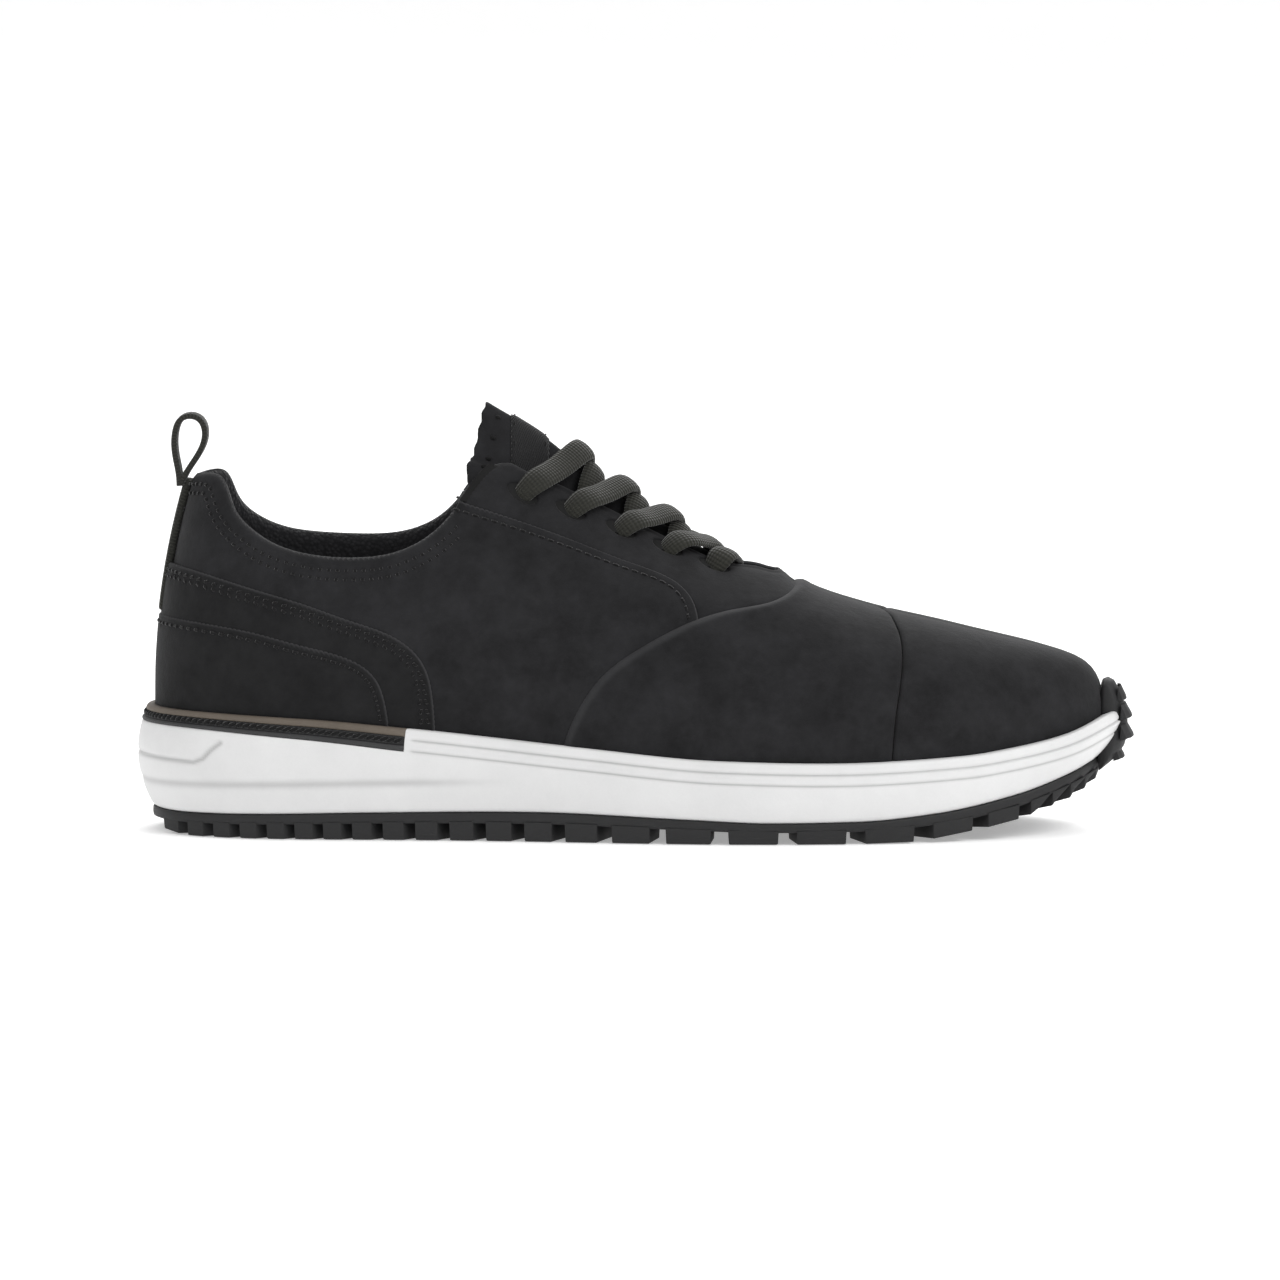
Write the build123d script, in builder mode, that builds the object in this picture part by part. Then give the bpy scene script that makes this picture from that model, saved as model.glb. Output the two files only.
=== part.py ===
"""Spikeless golf shoe for a right foot, as its separate pieces.

The shoe stands on its tread at z = 0. +X runs from heel to toe, +Z is up and the lateral (outer)
side of the foot is at -Y. All sizes are in millimetres.

The upper is shaped on a last. Its foot line is one closed outline in plan. From each station of
that line a wall section rises, turns over and reaches the centre plane y = 0, and the section
planes fan round the heel and the toe. Each layer of the upper lies between two such forms.
Everything that only depends on x (rim, foot bed, tread, seams) is cut with prisms across the shoe.
"""

import math
import os

from build123d import *

os.makedirs("parts", exist_ok=True)

# ---------------------------------------------------------------- the last
HEEL_X, TOE_X = -143.5, 143.0  # ends of the foot line
LATERAL, MEDIAL = -1, 1
FAN_SHIFT, FAN_SCALE = 6.7, 0.778  # where a section meets the centre plane, from where it starts

OUTLINE = [  # the foot line, from the heel round the lateral side to the toe and back
    (HEEL_X, 0), (-137, -19), (-120, -30.5), (-88, -35.5), (-48, -38), (-10, -43.5),
    (25, -48), (58, -47.5), (90, -41.5), (117, -30.5), (135, -17), (TOE_X, 0),
    (138.5, 15), (122, 30), (98, 40.5), (70, 47), (42, 47.8), (14, 44),
    (-15, 38.5), (-48, 35), (-85, 34), (-118, 29.5), (-137, 18.5),
]
STATIONS = [HEEL_X, -142.8, -140.8, -137, -131.5, -124, -114, -102, -88, -72, -56, -40, -24, -8,
            8, 24, 40, 56, 72, 87, 100, 111, 120, 127.5, 133.5, 138, 141.3, TOE_X]
RIDGE = [(-105, 150), (-75, 147), (-58, 137), (-45, 127), (-34, 119.5), (-20, 109.5), (0, 97),
         (13, 89.5), (27, 82.3), (46, 75.5), (62, 69.5), (76, 65.5), (104, 59.4), (118, 57)]
TURN = [(-144, 42), (-100, 38), (-45, 33), (0, 28), (60, 25), (113, 28), (143, 33)]
LIFT = [(-144, 0.46), (-100, 0.50), (-40, 0.54), (10, 0.52), (60, 0.60), (110, 0.68), (143, 0.87)]
FLAT = [(-144, 0.46), (-100, 0.50), (-40, 0.54), (10, 0.52), (60, 0.60), (110, 0.64), (143, 0.60)]
DROP = [(95, 0), (143, 4.4)]  # how far the section still climbs near the ridge, at the toe

# ---------------------------------------------------------------- sole unit, heights as (x, z)
RIM = [(-160, 37.5), (-144, 37.5), (-100, 36), (-69, 33.4), (-45, 31), (-15, 28), (25, 24.6),
       (60, 23.8), (98, 25.2), (113, 27), (129, 30), (143, 35), (160, 41)]
SOLE_LINE = [(-160, 6.8), (-144, 6.8), (-75, 8), (-30, 8.6), (17, 7), (40, 6.1), (67, 6.4),
             (90, 8.4), (114, 13), (129, 17.6), (143, 23), (160, 31)]
PLATE_LINE = [(-160, 3.8), (-144, 3.8), (-75, 4.8), (-30, 5.2), (17, 4), (40, 3.4), (67, 3.6),
              (90, 5.2), (114, 9.4), (129, 14), (143, 19.5), (160, 28)]
TREAD_LINE = [(-160, 1.6), (-146, 1.6), (-134, 0), (0, 0), (78, 0), (98, 2.6), (114, 5.6),
              (125, 9), (132, 11.4), (143, 17.2), (160, 26)]
TREAD_WEAR = 0.05  # the level tread is trimmed flat by this much
BED_DEPTH = 6.0  # the foot bed lies this far below the rim
WALL_TOP = [(-144, 3.0), (143, 3.0)]  # how far the side wall stands out from the foot line
WALL_BULGE = [(-144, 6.2), (-100, 4.8), (0, 4.2), (98, 4.2), (143, 3.6)]
WALL_FOOT = [(-144, 1.6), (-134, 2.4), (90, 2.6), (113, 2.2), (129, 1.0), (143, -2.4)]
SOLE_SPREAD = 0.4  # the outsole stands out a little from the midsole above it
LUG_PITCH, LUG_LENGTH, LUG_SLANT, LUG_COUNT = 11.5, 7.6, 3.0, 13
LUG_ROWS = [(-58, -19), (-16, 16), (19, 58)]
BUMPER_START = 138
BUMPER = [(0.6, -18), (-3.6, -13.8), (-5.8, -10.2), (-6.7, -6.6), (-6.4, -2), (-5.6, 2), (-4.2, 5.6),
          (-1.3, 10.4), (8, 10.4), (8, -16), (0.6, -18)]  # (inset, height above the rim)

WELT_END_X = -69.0  # front end of the heel welt
WELT_LOW = [(-160, 32.8), (-144, 32.8), (-100, 30), (WELT_END_X, 26.6), (-60, 25.6)]
WELT_LEVELS = {"welt_strip": (0.0, 0.32), "welt_band": (0.36, 0.72), "welt_lip": (0.76, 0.97)}
WELT_SPREAD = -0.1
LEATHER_GAP = 0.3
SHANK_SIZE = (104, 26, 1.4)
SHANK_X, SHANK_Z = -48, 15
POCKET_GAP = 0.3

# ---------------------------------------------------------------- layers, as insets of both faces
LEATHER = (0.0, 1.2)
FILLER = (1.4, 2.8)
LINING = (3.0, 3.7)
PAD_FOAM = (1.4, 5.0)
PAD_LINING = (5.2, 5.9)
FOXING_UPPER = (-1.2, -0.2)
FOXING_LOWER = (-2.4, -1.4)
GLUE = 0.15  # glue line between bonded pieces
BOARD_INSET, BOARD_THICKNESS, BOARD_LOW = 4.1, 1.4, 0.15 - BED_DEPTH
INSOLE_INSET, INSOLE_THICKNESS, INSOLE_LOW = 5.0, 3.6, 1.9 - BED_DEPTH
CLOTH_THICKNESS = 0.7
BIG = 200  # beyond every edge of the shoe

# ---------------------------------------------------------------- seams in the side view
COLLAR = [(-126, 108), (-121.5, 100), (-115, 92.5), (-107, 87.8), (-97, 85), (-84, 84),
          (-72, 85.4), (-62, 90), (-54.5, 97), (-49, 104.5), (-44.5, 109.6), (-39.5, 112.2),
          (-34.5, 112)]
PAD_EDGE = [(-126, 86), (-115, 74), (-100, 67.5), (-84, 66), (-72, 67.4), (-62, 72), (-56, 79)]
PAD_FRONT_X = -56
THROAT = [(-60, 16), (-40, 15), (-8, 12.8), (25, 10.4), (36, 8.2)]  # half width along the slot
THROAT_END_X = 43.0
VAMP_EDGE = [(-22.6, 10), (-21, 29.3), (-17, 39), (-10, 49), (2.4, 58), (16.6, 65), (30.8, 68.8),
             (43, 71.2), (49, 75), (52, 90)]
CAP_EDGE = [(76.2, 10), (76.7, 24), (78, 38.6), (79.9, 52), (79, 62), (76.4, 67), (75, 90)]
STAY_EDGE = [(-64, 104), (-46, 98.4), (-30.8, 93.4), (-17, 88.4), (-3, 83), (7, 79.4),
             (14.2, 75.4), (17.8, 71), (19.5, 60)]
UPPER_FOXING_EDGE = [(-160, 80.5), (-137, 80), (-125, 77.4), (-111.7, 73.7), (-98, 69.8),
                     (-84.8, 65.2), (-76, 62.3), (-69.5, 59.2), (-64.5, 55), (-61.3, 49.5),
                     (-59.8, 43), (-59.2, 20)]
LOWER_FOXING_EDGE = [(-160, 65), (-142, 64.8), (-125, 63.2), (-111.7, 61), (-101.7, 58.4),
                     (-91.4, 55.9), (-84.8, 53.8), (-79.4, 50.8), (-76, 46.8), (-73.9, 41),
                     (-72.3, 20)]
COUNTER_EDGE = [(-160, 72), (-142, 72), (-120, 70), (-100, 62), (-86, 52), (-80, 40), (-78, 10)]
PUFF_X = 92.0
LINING_SEAM_X = 8.0

# ---------------------------------------------------------------- tongue, lace and pull loop
TONGUE_RIDGE = [(-56, 136), (-45, 127.6), (-34, 121), (-23, 114), (-10, 103.5), (0, 97), (13, 89),
                (27, 80.4), (36, 75), (43, 70.6), (50, 67.6)]
TONGUE_WIDTH = [(-56, 20), (-30, 20.5), (0, 21), (50, 18)]
TONGUE_INSET = 5.6
TONGUE_STATIONS = [50, 43, 36, 27, 13, 0, -12, -23, -34, -45, -56]
TONGUE_LEAN = [(-45.2, 150), (-45.2, 128), (-50.5, 104), (-52, 60)]  # its top end, side view
TONGUE_LAYERS = {"tongue": (0.0, 0.9), "tongue_foam": (1.1, 3.8), "tongue_lining": (4.0, 4.7)}
LABEL_DEPTHS = (-1.0, -0.4)
LABEL_STATIONS = [-27, -32, -37]
LABEL_HALF_WIDTH = 9.0

EYELET_X = [-34, -19.5, -5, 9.5, 24]
EYELET_Y = {LATERAL: [-23, -21.6, -20, -18.6, -17], MEDIAL: [20.5, 19.8, 18.8, 17.8, 16.6]}
EYELET_RADIUS = 2.7
LACE_WIDTH, LACE_THICKNESS, LACE_CORE = 6.6, 0.9, 1.9
RIBBON_STEPS = 8
LACE_ABOVE, LACE_BELOW = -0.8, 4.65  # insets of a strap's middle, over and under the eyestay
RELIEF_GAP = 0.3  # clearance between the lace and the dent it presses into the tongue
RELIEF_DEPTH = 4.0
RELIEF_LIFT = RELIEF_DEPTH / 2 - LACE_THICKNESS / 2 - RELIEF_GAP
LACE_LEVELS = (2.1, 0.85)  # height of a strap's middle over the tongue, where straps cross
LACE_BOWS = [9.5, 8, 7, 6, 5]  # how far forward a strap crosses the ridge
TAIL = [(0, 0), (1, 2.8), (3, 5.2), (5.5, 7)]  # tucked lace end, forward and outward of eyelet 1
TONGUE_NOTCHES = [(-39.5, -26, 15), (-23, -18, 15.4)]  # x from, x to, y outward, by eyelets 1 and 2
AGLET_RADIUS, AGLET_LENGTH, AGLET_GAP = 0.9, 15, 1.5

LOOP_WIDTH = 11.0
LOOP_HINGE = (-137.1, 104.4)
LOOP_TOP = (-134.0, 119.9)
LOOP_EYE_FOOT = (-136.2, 108.2)
LOOP_TOP_RADIUS, LOOP_FOOT_RADIUS, WEBBING = 4.9, 0.9, 1.3
STRIP_LOW, STRIP_HIGH = 65.6, 103.0


# ---------------------------------------------------------------- curves
def along(points):
    """A smooth function of x through the points, which never overshoots between two of them."""
    xs = [p[0] for p in points]
    zs = [p[1] for p in points]
    last = len(xs) - 1
    slope = [(zs[i + 1] - zs[i]) / (xs[i + 1] - xs[i]) for i in range(last)]
    grade = [slope[0]]
    for i in range(1, last):
        a, b = slope[i - 1], slope[i]
        grade.append(0.0 if a * b <= 0 else 2 * a * b / (a + b))
    grade.append(slope[-1])

    def value(x):
        x = min(max(x, xs[0]), xs[-1])
        i = max(k for k in range(last) if xs[k] <= x)
        h = xs[i + 1] - xs[i]
        t = (x - xs[i]) / h
        start = zs[i] * (1 + 2 * t) * (1 - t) ** 2 + h * grade[i] * t * (1 - t) ** 2
        end = zs[i + 1] * t * t * (3 - 2 * t) - h * grade[i + 1] * t * t * (1 - t)
        return start + end

    return value


def solve(function, target, low, high):
    """The argument where a rising function reaches the target."""
    for _ in range(40):
        middle = (low + high) / 2
        if function(middle) < target:
            low = middle
        else:
            high = middle
    return (low + high) / 2


rim, welt_low = along(RIM), along(WELT_LOW)
ridge, turn, lift, flat, drop = map(along, (RIDGE, TURN, LIFT, FLAT, DROP))
wall_top, wall_bulge, wall_foot = map(along, (WALL_TOP, WALL_BULGE, WALL_FOOT))
sole_line = along(SOLE_LINE)
throat_width, tongue_ridge, tongue_width = map(along, (THROAT, TONGUE_RIDGE, TONGUE_WIDTH))

outline = Spline(*OUTLINE, periodic=True)
toe_t = outline.param_at_point(Vector(TOE_X, 0, 0))


def foot_point(side, share):
    t = toe_t * share if side == LATERAL else 1 - (1 - toe_t) * share
    return outline @ (t % 1.0)


def foot_line(side, x):
    """The y of the foot line at x."""
    if x in (HEEL_X, TOE_X):
        return 0.0
    share = solve(lambda s: foot_point(side, s).X, x, 0.0, 1.0)
    return foot_point(side, share).Y


FOOT_LINE = {side: [(x, foot_line(side, x)) for x in STATIONS] for side in (LATERAL, MEDIAL)}
foot_y = {side: along(FOOT_LINE[side]) for side in FOOT_LINE}


def fan_plane(x, y):
    """The section plane at a point of the foot line, where its section meets y = 0, and its run."""
    centre_x = FAN_SHIFT + FAN_SCALE * x
    inward = Vector(centre_x - x, -y, 0)
    plane = Plane(origin=(x, y, 0), x_dir=inward, z_dir=inward.cross(Vector(0, 0, 1)))
    return plane, centre_x, inward.length


def wall_controls(x, centre_x, run, inset):
    """The four control points of a section of the last, smaller by inset."""
    top, shoulder = ridge(centre_x) - inset, turn(x)
    first = (inset, shoulder + lift(x) * (top - shoulder))
    second = (run - flat(x) * (run - inset), top - drop(x))
    return (inset, shoulder), first, second, (run, top)


def last_height(x, y, inset):
    """The height of the last, smaller by inset, above the point (x, y)."""
    side = LATERAL if y < 0 else MEDIAL
    y = max(abs(y), 0.01)

    def offside(foot_x):
        centre_x = FAN_SHIFT + FAN_SCALE * foot_x
        return centre_x + (foot_x - centre_x) * y / max(abs(foot_y[side](foot_x)), 0.02)

    foot_x = solve(offside, x, -140, 141)
    foot = foot_y[side](foot_x)
    _, centre_x, run = fan_plane(foot_x, foot)
    distance = run * (1 - y / abs(foot))
    p = wall_controls(foot_x, centre_x, run, inset)

    def bezier(t, axis):
        weights = ((1 - t) ** 3, 3 * t * (1 - t) ** 2, 3 * t * t * (1 - t), t**3)
        return sum(w * point[axis] for w, point in zip(weights, p))

    return bezier(solve(lambda t: bezier(t, 0), distance, 0.0, 1.0), 1)


def last_point(x, y, inset):
    """The point above (x, y) at an inset of the last, and the outward normal there."""
    step = 0.5
    east = last_height(x + step, y, 0) - last_height(x - step, y, 0)
    north = last_height(x, y + step, 0) - last_height(x, y - step, 0)
    normal = Vector(-east / (2 * step), -north / (2 * step), 1).normalized()
    return Vector(x, y, last_height(x, y, 0)) - normal * inset, normal


# ---------------------------------------------------------------- solids made from the curves
def fan_loft(section, stations=STATIONS):
    """Lofts the closed sections drawn by section(x, centre_x, run), on both sides of the foot."""
    halves = []
    for side in (LATERAL, MEDIAL):
        with BuildPart() as half:
            for x, y in FOOT_LINE[side]:
                if x not in stations:
                    continue
                plane, centre_x, run = fan_plane(x, y)
                with BuildSketch(plane):
                    with BuildLine():
                        section(x, centre_x, run)
                    make_face()
            loft(ruled=True)
        halves.append(half.part)
    with BuildPart() as whole:
        add(halves, clean=False)
    return whole.part


def last_form(inset, low=5.0):
    """The last, smaller by inset, standing on a flat floor."""

    def section(x, centre_x, run):
        controls = wall_controls(x, centre_x, run, inset)
        Line((inset, low), controls[0])
        Bezier(*controls)
        Polyline(controls[3], (run, low), (inset, low))

    return fan_loft(section)


def foot_slab(inset, low, high):
    """A level slab with the shape of the foot line, smaller by inset."""
    return fan_loft(
        lambda x, centre_x, run: Polyline(
            (inset, low), (inset, high), (run, high), (run, low), (inset, low)
        )
    )


def wall_form(spread, low, high):
    """The bulging side wall of the sole, standing further out by spread."""

    def section(x, centre_x, run):
        foot, top = sole_line(x), rim(x)
        swell = foot + 0.45 * (top - foot)
        heights = (low, foot, swell, top, high)
        widths = (wall_foot(x), wall_foot(x), wall_bulge(x), wall_top(x), wall_top(x))
        wall = [(-width - spread, z) for width, z in zip(widths, heights)]
        Line(wall[0], wall[1])
        Spline(wall[1], wall[2], wall[3])
        Polyline(wall[3], wall[4], (run, high), (run, low), wall[0])

    return fan_loft(section)


def side_prism(points, corners):
    """A prism across the shoe. Its side view is a smooth curve closed through the corners."""
    with BuildPart() as prism:
        with BuildSketch(Plane.XZ):
            with BuildLine():
                edge = Spline(*points)
                Polyline(edge @ 1, *corners, edge @ 0)
            make_face()
        extrude(amount=BIG, both=True)
    return prism.part


def above(points, shift=0.0):
    """Everything above a line of heights."""
    line = along(points)
    first, last = points[0][0], points[-1][0]
    steps = 40
    xs = [first + (last - first) * i / steps for i in range(steps + 1)]
    return side_prism([(x, line(x) + shift) for x in xs], [(last, BIG), (first, BIG)])


def layer(insets, low=5.0):
    """The shell between two insets of the last."""
    with BuildPart() as shell:
        add(last_form(insets[0], low))
        add(last_form(insets[1], low - 1), mode=Mode.SUBTRACT)
    return shell.part


def slot_prism(spread=0.0):
    """The throat slot, seen from above, from its rounded end back past the top of the tongue."""
    with BuildPart() as prism:
        with BuildSketch(Plane.XY.offset(55)):
            with BuildLine():
                right = [(x, y + spread) for x, y in THROAT]
                left = [(x, -y) for x, y in reversed(right)]
                Spline(*right, (THROAT_END_X + spread, 0), *left)
                Line(left[-1], right[0])
            make_face()
        extrude(amount=BIG)
    return prism.part


def eyelet_pins(radius, outer, inner):
    """One round pin through each eyelet, square to the leather, between two insets."""
    with BuildPart() as pins:
        for side in (LATERAL, MEDIAL):
            for x, y in zip(EYELET_X, EYELET_Y[side]):
                middle, normal = last_point(x, y, (outer + inner) / 2)
                with Locations(Plane(origin=middle, z_dir=normal)):
                    Cylinder(radius, inner - outer)
    return pins.part


def half_space(side):
    """The lateral or the medial side of the centre plane."""
    with BuildPart() as space:
        with Locations((0, side * BIG / 2, 0)):
            Box(4 * BIG, BIG, 4 * BIG)
    return space.part


def behind(x):
    """Everything on the heel side of x."""
    with BuildPart() as space:
        with Locations((x, 0, 0)):
            Box(2 * BIG, 4 * BIG, 4 * BIG, align=(Align.MAX, Align.CENTER, Align.CENTER))
    return space.part


def cut_panel(shell, keep=(), remove=()):
    """What is left of a shell inside every form of keep and outside every form of remove."""
    with BuildPart() as panel:
        add(shell)
        for form in keep:
            add(form, mode=Mode.INTERSECT)
        for form in remove:
            add(form, mode=Mode.SUBTRACT)
    return panel.part


def tongue_height(x, y, depth):
    """Height of the tongue at a depth below its face: it swells up through the throat slot."""
    swell = throat_width(min(x, THROAT[-1][0])) - 2.0
    if abs(y) >= swell:
        return last_height(x, y, TONGUE_INSET + depth)
    base = last_height(x, math.copysign(swell, y), TONGUE_INSET + depth)
    share = 0.5 + 0.5 * math.cos(math.pi * y / swell)
    return base + share * (tongue_ridge(x) - 1.17 * depth - base)


def tongue_layer(depths, stations=TONGUE_STATIONS, widest=BIG):
    """A layer of the tongue between two depths, before its top end is trimmed."""
    with BuildPart() as sheet:
        for x in stations:
            half = min(tongue_width(x), widest)
            ys = [half * i / 6 for i in range(-6, 7)]
            face = [(y, tongue_height(x, y, depths[0])) for y in ys]
            back = [(y, tongue_height(x, y, depths[1])) for y in reversed(ys)]
            with BuildSketch(Plane.YZ.offset(x)):
                with BuildLine():
                    Spline(*face)
                    Line(face[-1], back[0])
                    Spline(*back)
                    Line(back[-1], face[0])
                make_face()
        loft(ruled=True)
    return sheet.part


def ribbon(points, normals, width=LACE_WIDTH, thickness=LACE_THICKNESS):
    """A flat strap along a smooth curve through the points, lying square to the normals."""
    path = Spline(*points, mode=Mode.PRIVATE)
    lean = Spline(*[point + normal for point, normal in zip(points, normals)], mode=Mode.PRIVATE)
    with BuildPart() as strap:
        for i in range(RIBBON_STEPS + 1):
            share = i / RIBBON_STEPS
            ahead = path % share
            across = ahead.cross(lean @ share - path @ share)
            with BuildSketch(Plane(origin=path @ share, x_dir=across, z_dir=ahead)):
                Rectangle(width, thickness)
        loft(ruled=True)
    return strap.part


def lace_route(start, end, level, bow):
    """One run of lace: out of the start eyelet, over the tongue, and under the far eyestay."""
    (x1, y1), (x2, y2) = start, end
    side = math.copysign(1, y1)

    def x_at(y):
        share = (y1 - y) / (y1 - y2)
        return x1 + (x2 - x1) * share + bow * 4 * share * (1 - share)

    points, normals = [], []
    for y in (y1, side * (throat_width(x1) + 2.0)):
        point, normal = last_point(x_at(y), y, LACE_ABOVE)
        points.append(point)
        normals.append(normal)
    x = x_at(0)
    slope = (tongue_ridge(x + 1) - tongue_ridge(x - 1)) / 2
    upright = Vector(-slope, 0, 1).normalized()
    points.append(Vector(x, 0, tongue_ridge(x)) + upright * level)
    normals.append(upright)
    y = -side * 0.5 * throat_width(x2)
    points.append(Vector(x_at(y), y, tongue_height(x_at(y), y, 0) + 1.4))
    normals.append((upright + last_point(x, y, 0)[1]).normalized())
    for y in (-side * (throat_width(x2) + 0.5), y2):
        point, normal = last_point(x_at(y), y, LACE_BELOW)
        points.append(point)
        normals.append(normal)
    return points, normals


def relief_strap(points, normals):
    """The dent that a run of lace presses into the tongue."""
    lifted = [point + normal * RELIEF_LIFT for point, normal in zip(points, normals)]
    return ribbon(lifted, normals, LACE_WIDTH + 2 * RELIEF_GAP, RELIEF_DEPTH)


# ---------------------------------------------------------------- shared forms
above_bed = above(RIM, GLUE - BED_DEPTH)
above_rim = above(RIM, GLUE)
above_collar = side_prism(COLLAR, [(-34.5, BIG), (-BIG, BIG), (-BIG, 108)])
above_stay = side_prism(STAY_EDGE, [(BIG, 60), (BIG, BIG), (-64, BIG)])
pad_zone = side_prism(PAD_EDGE, [(PAD_FRONT_X, BIG), (-BIG, BIG), (-BIG, 86)])
toe_side = side_prism(CAP_EDGE, [(BIG, 90), (BIG, 10)])
vamp_side = side_prism(VAMP_EDGE, [(BIG, 90), (BIG, 10)])
upper_foxing_zone = side_prism(UPPER_FOXING_EDGE, [(-160, 20)])
lower_foxing_zone = side_prism(LOWER_FOXING_EDGE, [(-160, 20)])
counter_zone = side_prism(COUNTER_EDGE, [(-160, 10)])
throat = slot_prism()
eyelet_holes = eyelet_pins(EYELET_RADIUS, -3, 9)
halves = {"lateral": half_space(LATERAL), "medial": half_space(MEDIAL)}

open_upper = [above_collar, throat, eyelet_holes]
leather = cut_panel(layer(LEATHER), [above_bed], open_upper)
filler = cut_panel(layer(FILLER), [above_bed], open_upper)
lining = cut_panel(layer(LINING), [above_bed], open_upper)

# ---------------------------------------------------------------- sole unit
with BuildPart() as welt_ledge:
    add(above(WELT_LOW))
    add(behind(WELT_END_X), mode=Mode.INTERSECT)

with BuildPart() as midsole:
    add(wall_form(0.0, -5, 60))
    add(above(SOLE_LINE), mode=Mode.INTERSECT)
    add(above(RIM), mode=Mode.SUBTRACT)
    add(cut_panel(foot_slab(-GLUE, -5, 60), [above(RIM, -BED_DEPTH)]), mode=Mode.SUBTRACT)
    add(welt_ledge.part, mode=Mode.SUBTRACT)
    with Locations((SHANK_X, 0, SHANK_Z)):
        Box(*[size + 2 * POCKET_GAP for size in SHANK_SIZE], mode=Mode.SUBTRACT)
midsole.part.label = "midsole"
export_step(midsole.part, "parts/midsole.step")

with BuildPart() as shank:
    with Locations((SHANK_X, 0, SHANK_Z)):
        Box(*SHANK_SIZE)
    fillet(shank.edges().filter_by(Axis.Z), 10)
shank.part.label = "shank"
export_step(shank.part, "parts/shank.step")

with BuildPart() as lugs:
    with BuildSketch(Plane.XY.offset(-5)):
        for row, (near, far) in enumerate(LUG_ROWS):
            slant = (row - 1) * LUG_SLANT
            shift = LUG_PITCH / 2 if row == 1 else 0
            for i in range(-LUG_COUNT, LUG_COUNT + 1):
                x = i * LUG_PITCH + shift
                with BuildLine():
                    Polyline(
                        (x + slant, near), (x + slant + LUG_LENGTH, near),
                        (x - slant + LUG_LENGTH, far), (x - slant, far), (x + slant, near),
                    )
                make_face()
    extrude(amount=60)

with BuildPart() as midsole_wall:
    add(wall_form(GLUE, -6, 60))
    add(above(SOLE_LINE), mode=Mode.INTERSECT)
    add(above(RIM, GLUE), mode=Mode.SUBTRACT)

bumper = cut_panel(
    fan_loft(
        lambda x, centre_x, run: Polyline(*[(inset, rim(x) + height) for inset, height in BUMPER]),
        [x for x in STATIONS if x >= BUMPER_START],
    ),
    [],
    [midsole_wall.part, last_form(-LEATHER_GAP)],
)

with BuildPart() as outsole:
    add(wall_form(SOLE_SPREAD, -6, 50))
    add(lugs.part, mode=Mode.INTERSECT)
    add(above(TREAD_LINE, -TREAD_WEAR), mode=Mode.INTERSECT)
    Box(2 * BIG, 2 * BIG, BIG, align=(Align.CENTER, Align.CENTER, Align.MIN), mode=Mode.INTERSECT)
    add(above(PLATE_LINE, 0.4), mode=Mode.SUBTRACT)
    add(
        cut_panel(
            wall_form(SOLE_SPREAD, -6, 50), [above(PLATE_LINE)], [above(SOLE_LINE, -GLUE)]
        )
    )
    add(bumper)
outsole.part.label = "outsole"
export_step(outsole.part, "parts/outsole.step")


def welt_ring(near, far):
    """A band of the heel welt between two shares of its height, counted from the top."""

    def level(share):
        return [(x, rim(x) - share * (rim(x) - welt_low(x))) for x, _ in WELT_LOW]

    return cut_panel(
        wall_form(WELT_SPREAD, -5, 60),
        [above(level(far)), behind(WELT_END_X - GLUE)],
        [above(level(near)), foot_slab(-LEATHER_GAP, -6, 61)],
    )


for name, shares in WELT_LEVELS.items():
    with BuildPart() as welt:
        add(welt_ring(*shares))
    welt.part.label = name
    export_step(welt.part, f"parts/{name}.step")

with BuildPart() as lasting_board:
    add(foot_slab(BOARD_INSET, 5, 60))
    add(above(RIM, BOARD_LOW), mode=Mode.INTERSECT)
    add(above(RIM, BOARD_LOW + BOARD_THICKNESS), mode=Mode.SUBTRACT)
lasting_board.part.label = "lasting_board"
export_step(lasting_board.part, "parts/lasting_board.step")

with BuildPart() as insole:
    add(foot_slab(INSOLE_INSET, 5, 60))
    add(above(RIM, INSOLE_LOW), mode=Mode.INTERSECT)
    add(above(RIM, INSOLE_LOW + INSOLE_THICKNESS), mode=Mode.SUBTRACT)
insole.part.label = "insole"
export_step(insole.part, "parts/insole.step")

with BuildPart() as insole_cloth:
    add(foot_slab(INSOLE_INSET, 5, 60))
    add(above(RIM, INSOLE_LOW + INSOLE_THICKNESS + GLUE), mode=Mode.INTERSECT)
    add(above(RIM, INSOLE_LOW + INSOLE_THICKNESS + GLUE + CLOTH_THICKNESS), mode=Mode.SUBTRACT)
insole_cloth.part.label = "insole_cloth"
export_step(insole_cloth.part, "parts/insole_cloth.step")

# ---------------------------------------------------------------- upper
with BuildPart() as toe_cap:
    add(cut_panel(leather, [toe_side]))
toe_cap.part.label = "toe_cap"
export_step(toe_cap.part, "parts/toe_cap.step")

with BuildPart() as vamp:
    add(cut_panel(leather, [vamp_side], [toe_side]))
vamp.part.label = "vamp"
export_step(vamp.part, "parts/vamp.step")

back_leather = cut_panel(leather, [], [vamp_side])
for name, space in halves.items():
    with BuildPart() as quarter:
        add(cut_panel(back_leather, [space], [above_stay]))
    quarter.part.label = f"quarter_{name}"
    export_step(quarter.part, f"parts/quarter_{name}.step")

    with BuildPart() as eyestay:
        add(cut_panel(back_leather, [space, above_stay]))
    eyestay.part.label = f"eyestay_{name}"
    export_step(eyestay.part, f"parts/eyestay_{name}.step")

    with BuildPart() as eyelet_tape:
        add(cut_panel(filler, [space, above_stay], [vamp_side]))
    eyelet_tape.part.label = f"eyelet_tape_{name}"
    export_step(eyelet_tape.part, f"parts/eyelet_tape_{name}.step")

with BuildPart() as vamp_backing:
    add(cut_panel(filler, [vamp_side, behind(PUFF_X)]))
vamp_backing.part.label = "vamp_backing"
export_step(vamp_backing.part, "parts/vamp_backing.step")

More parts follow.
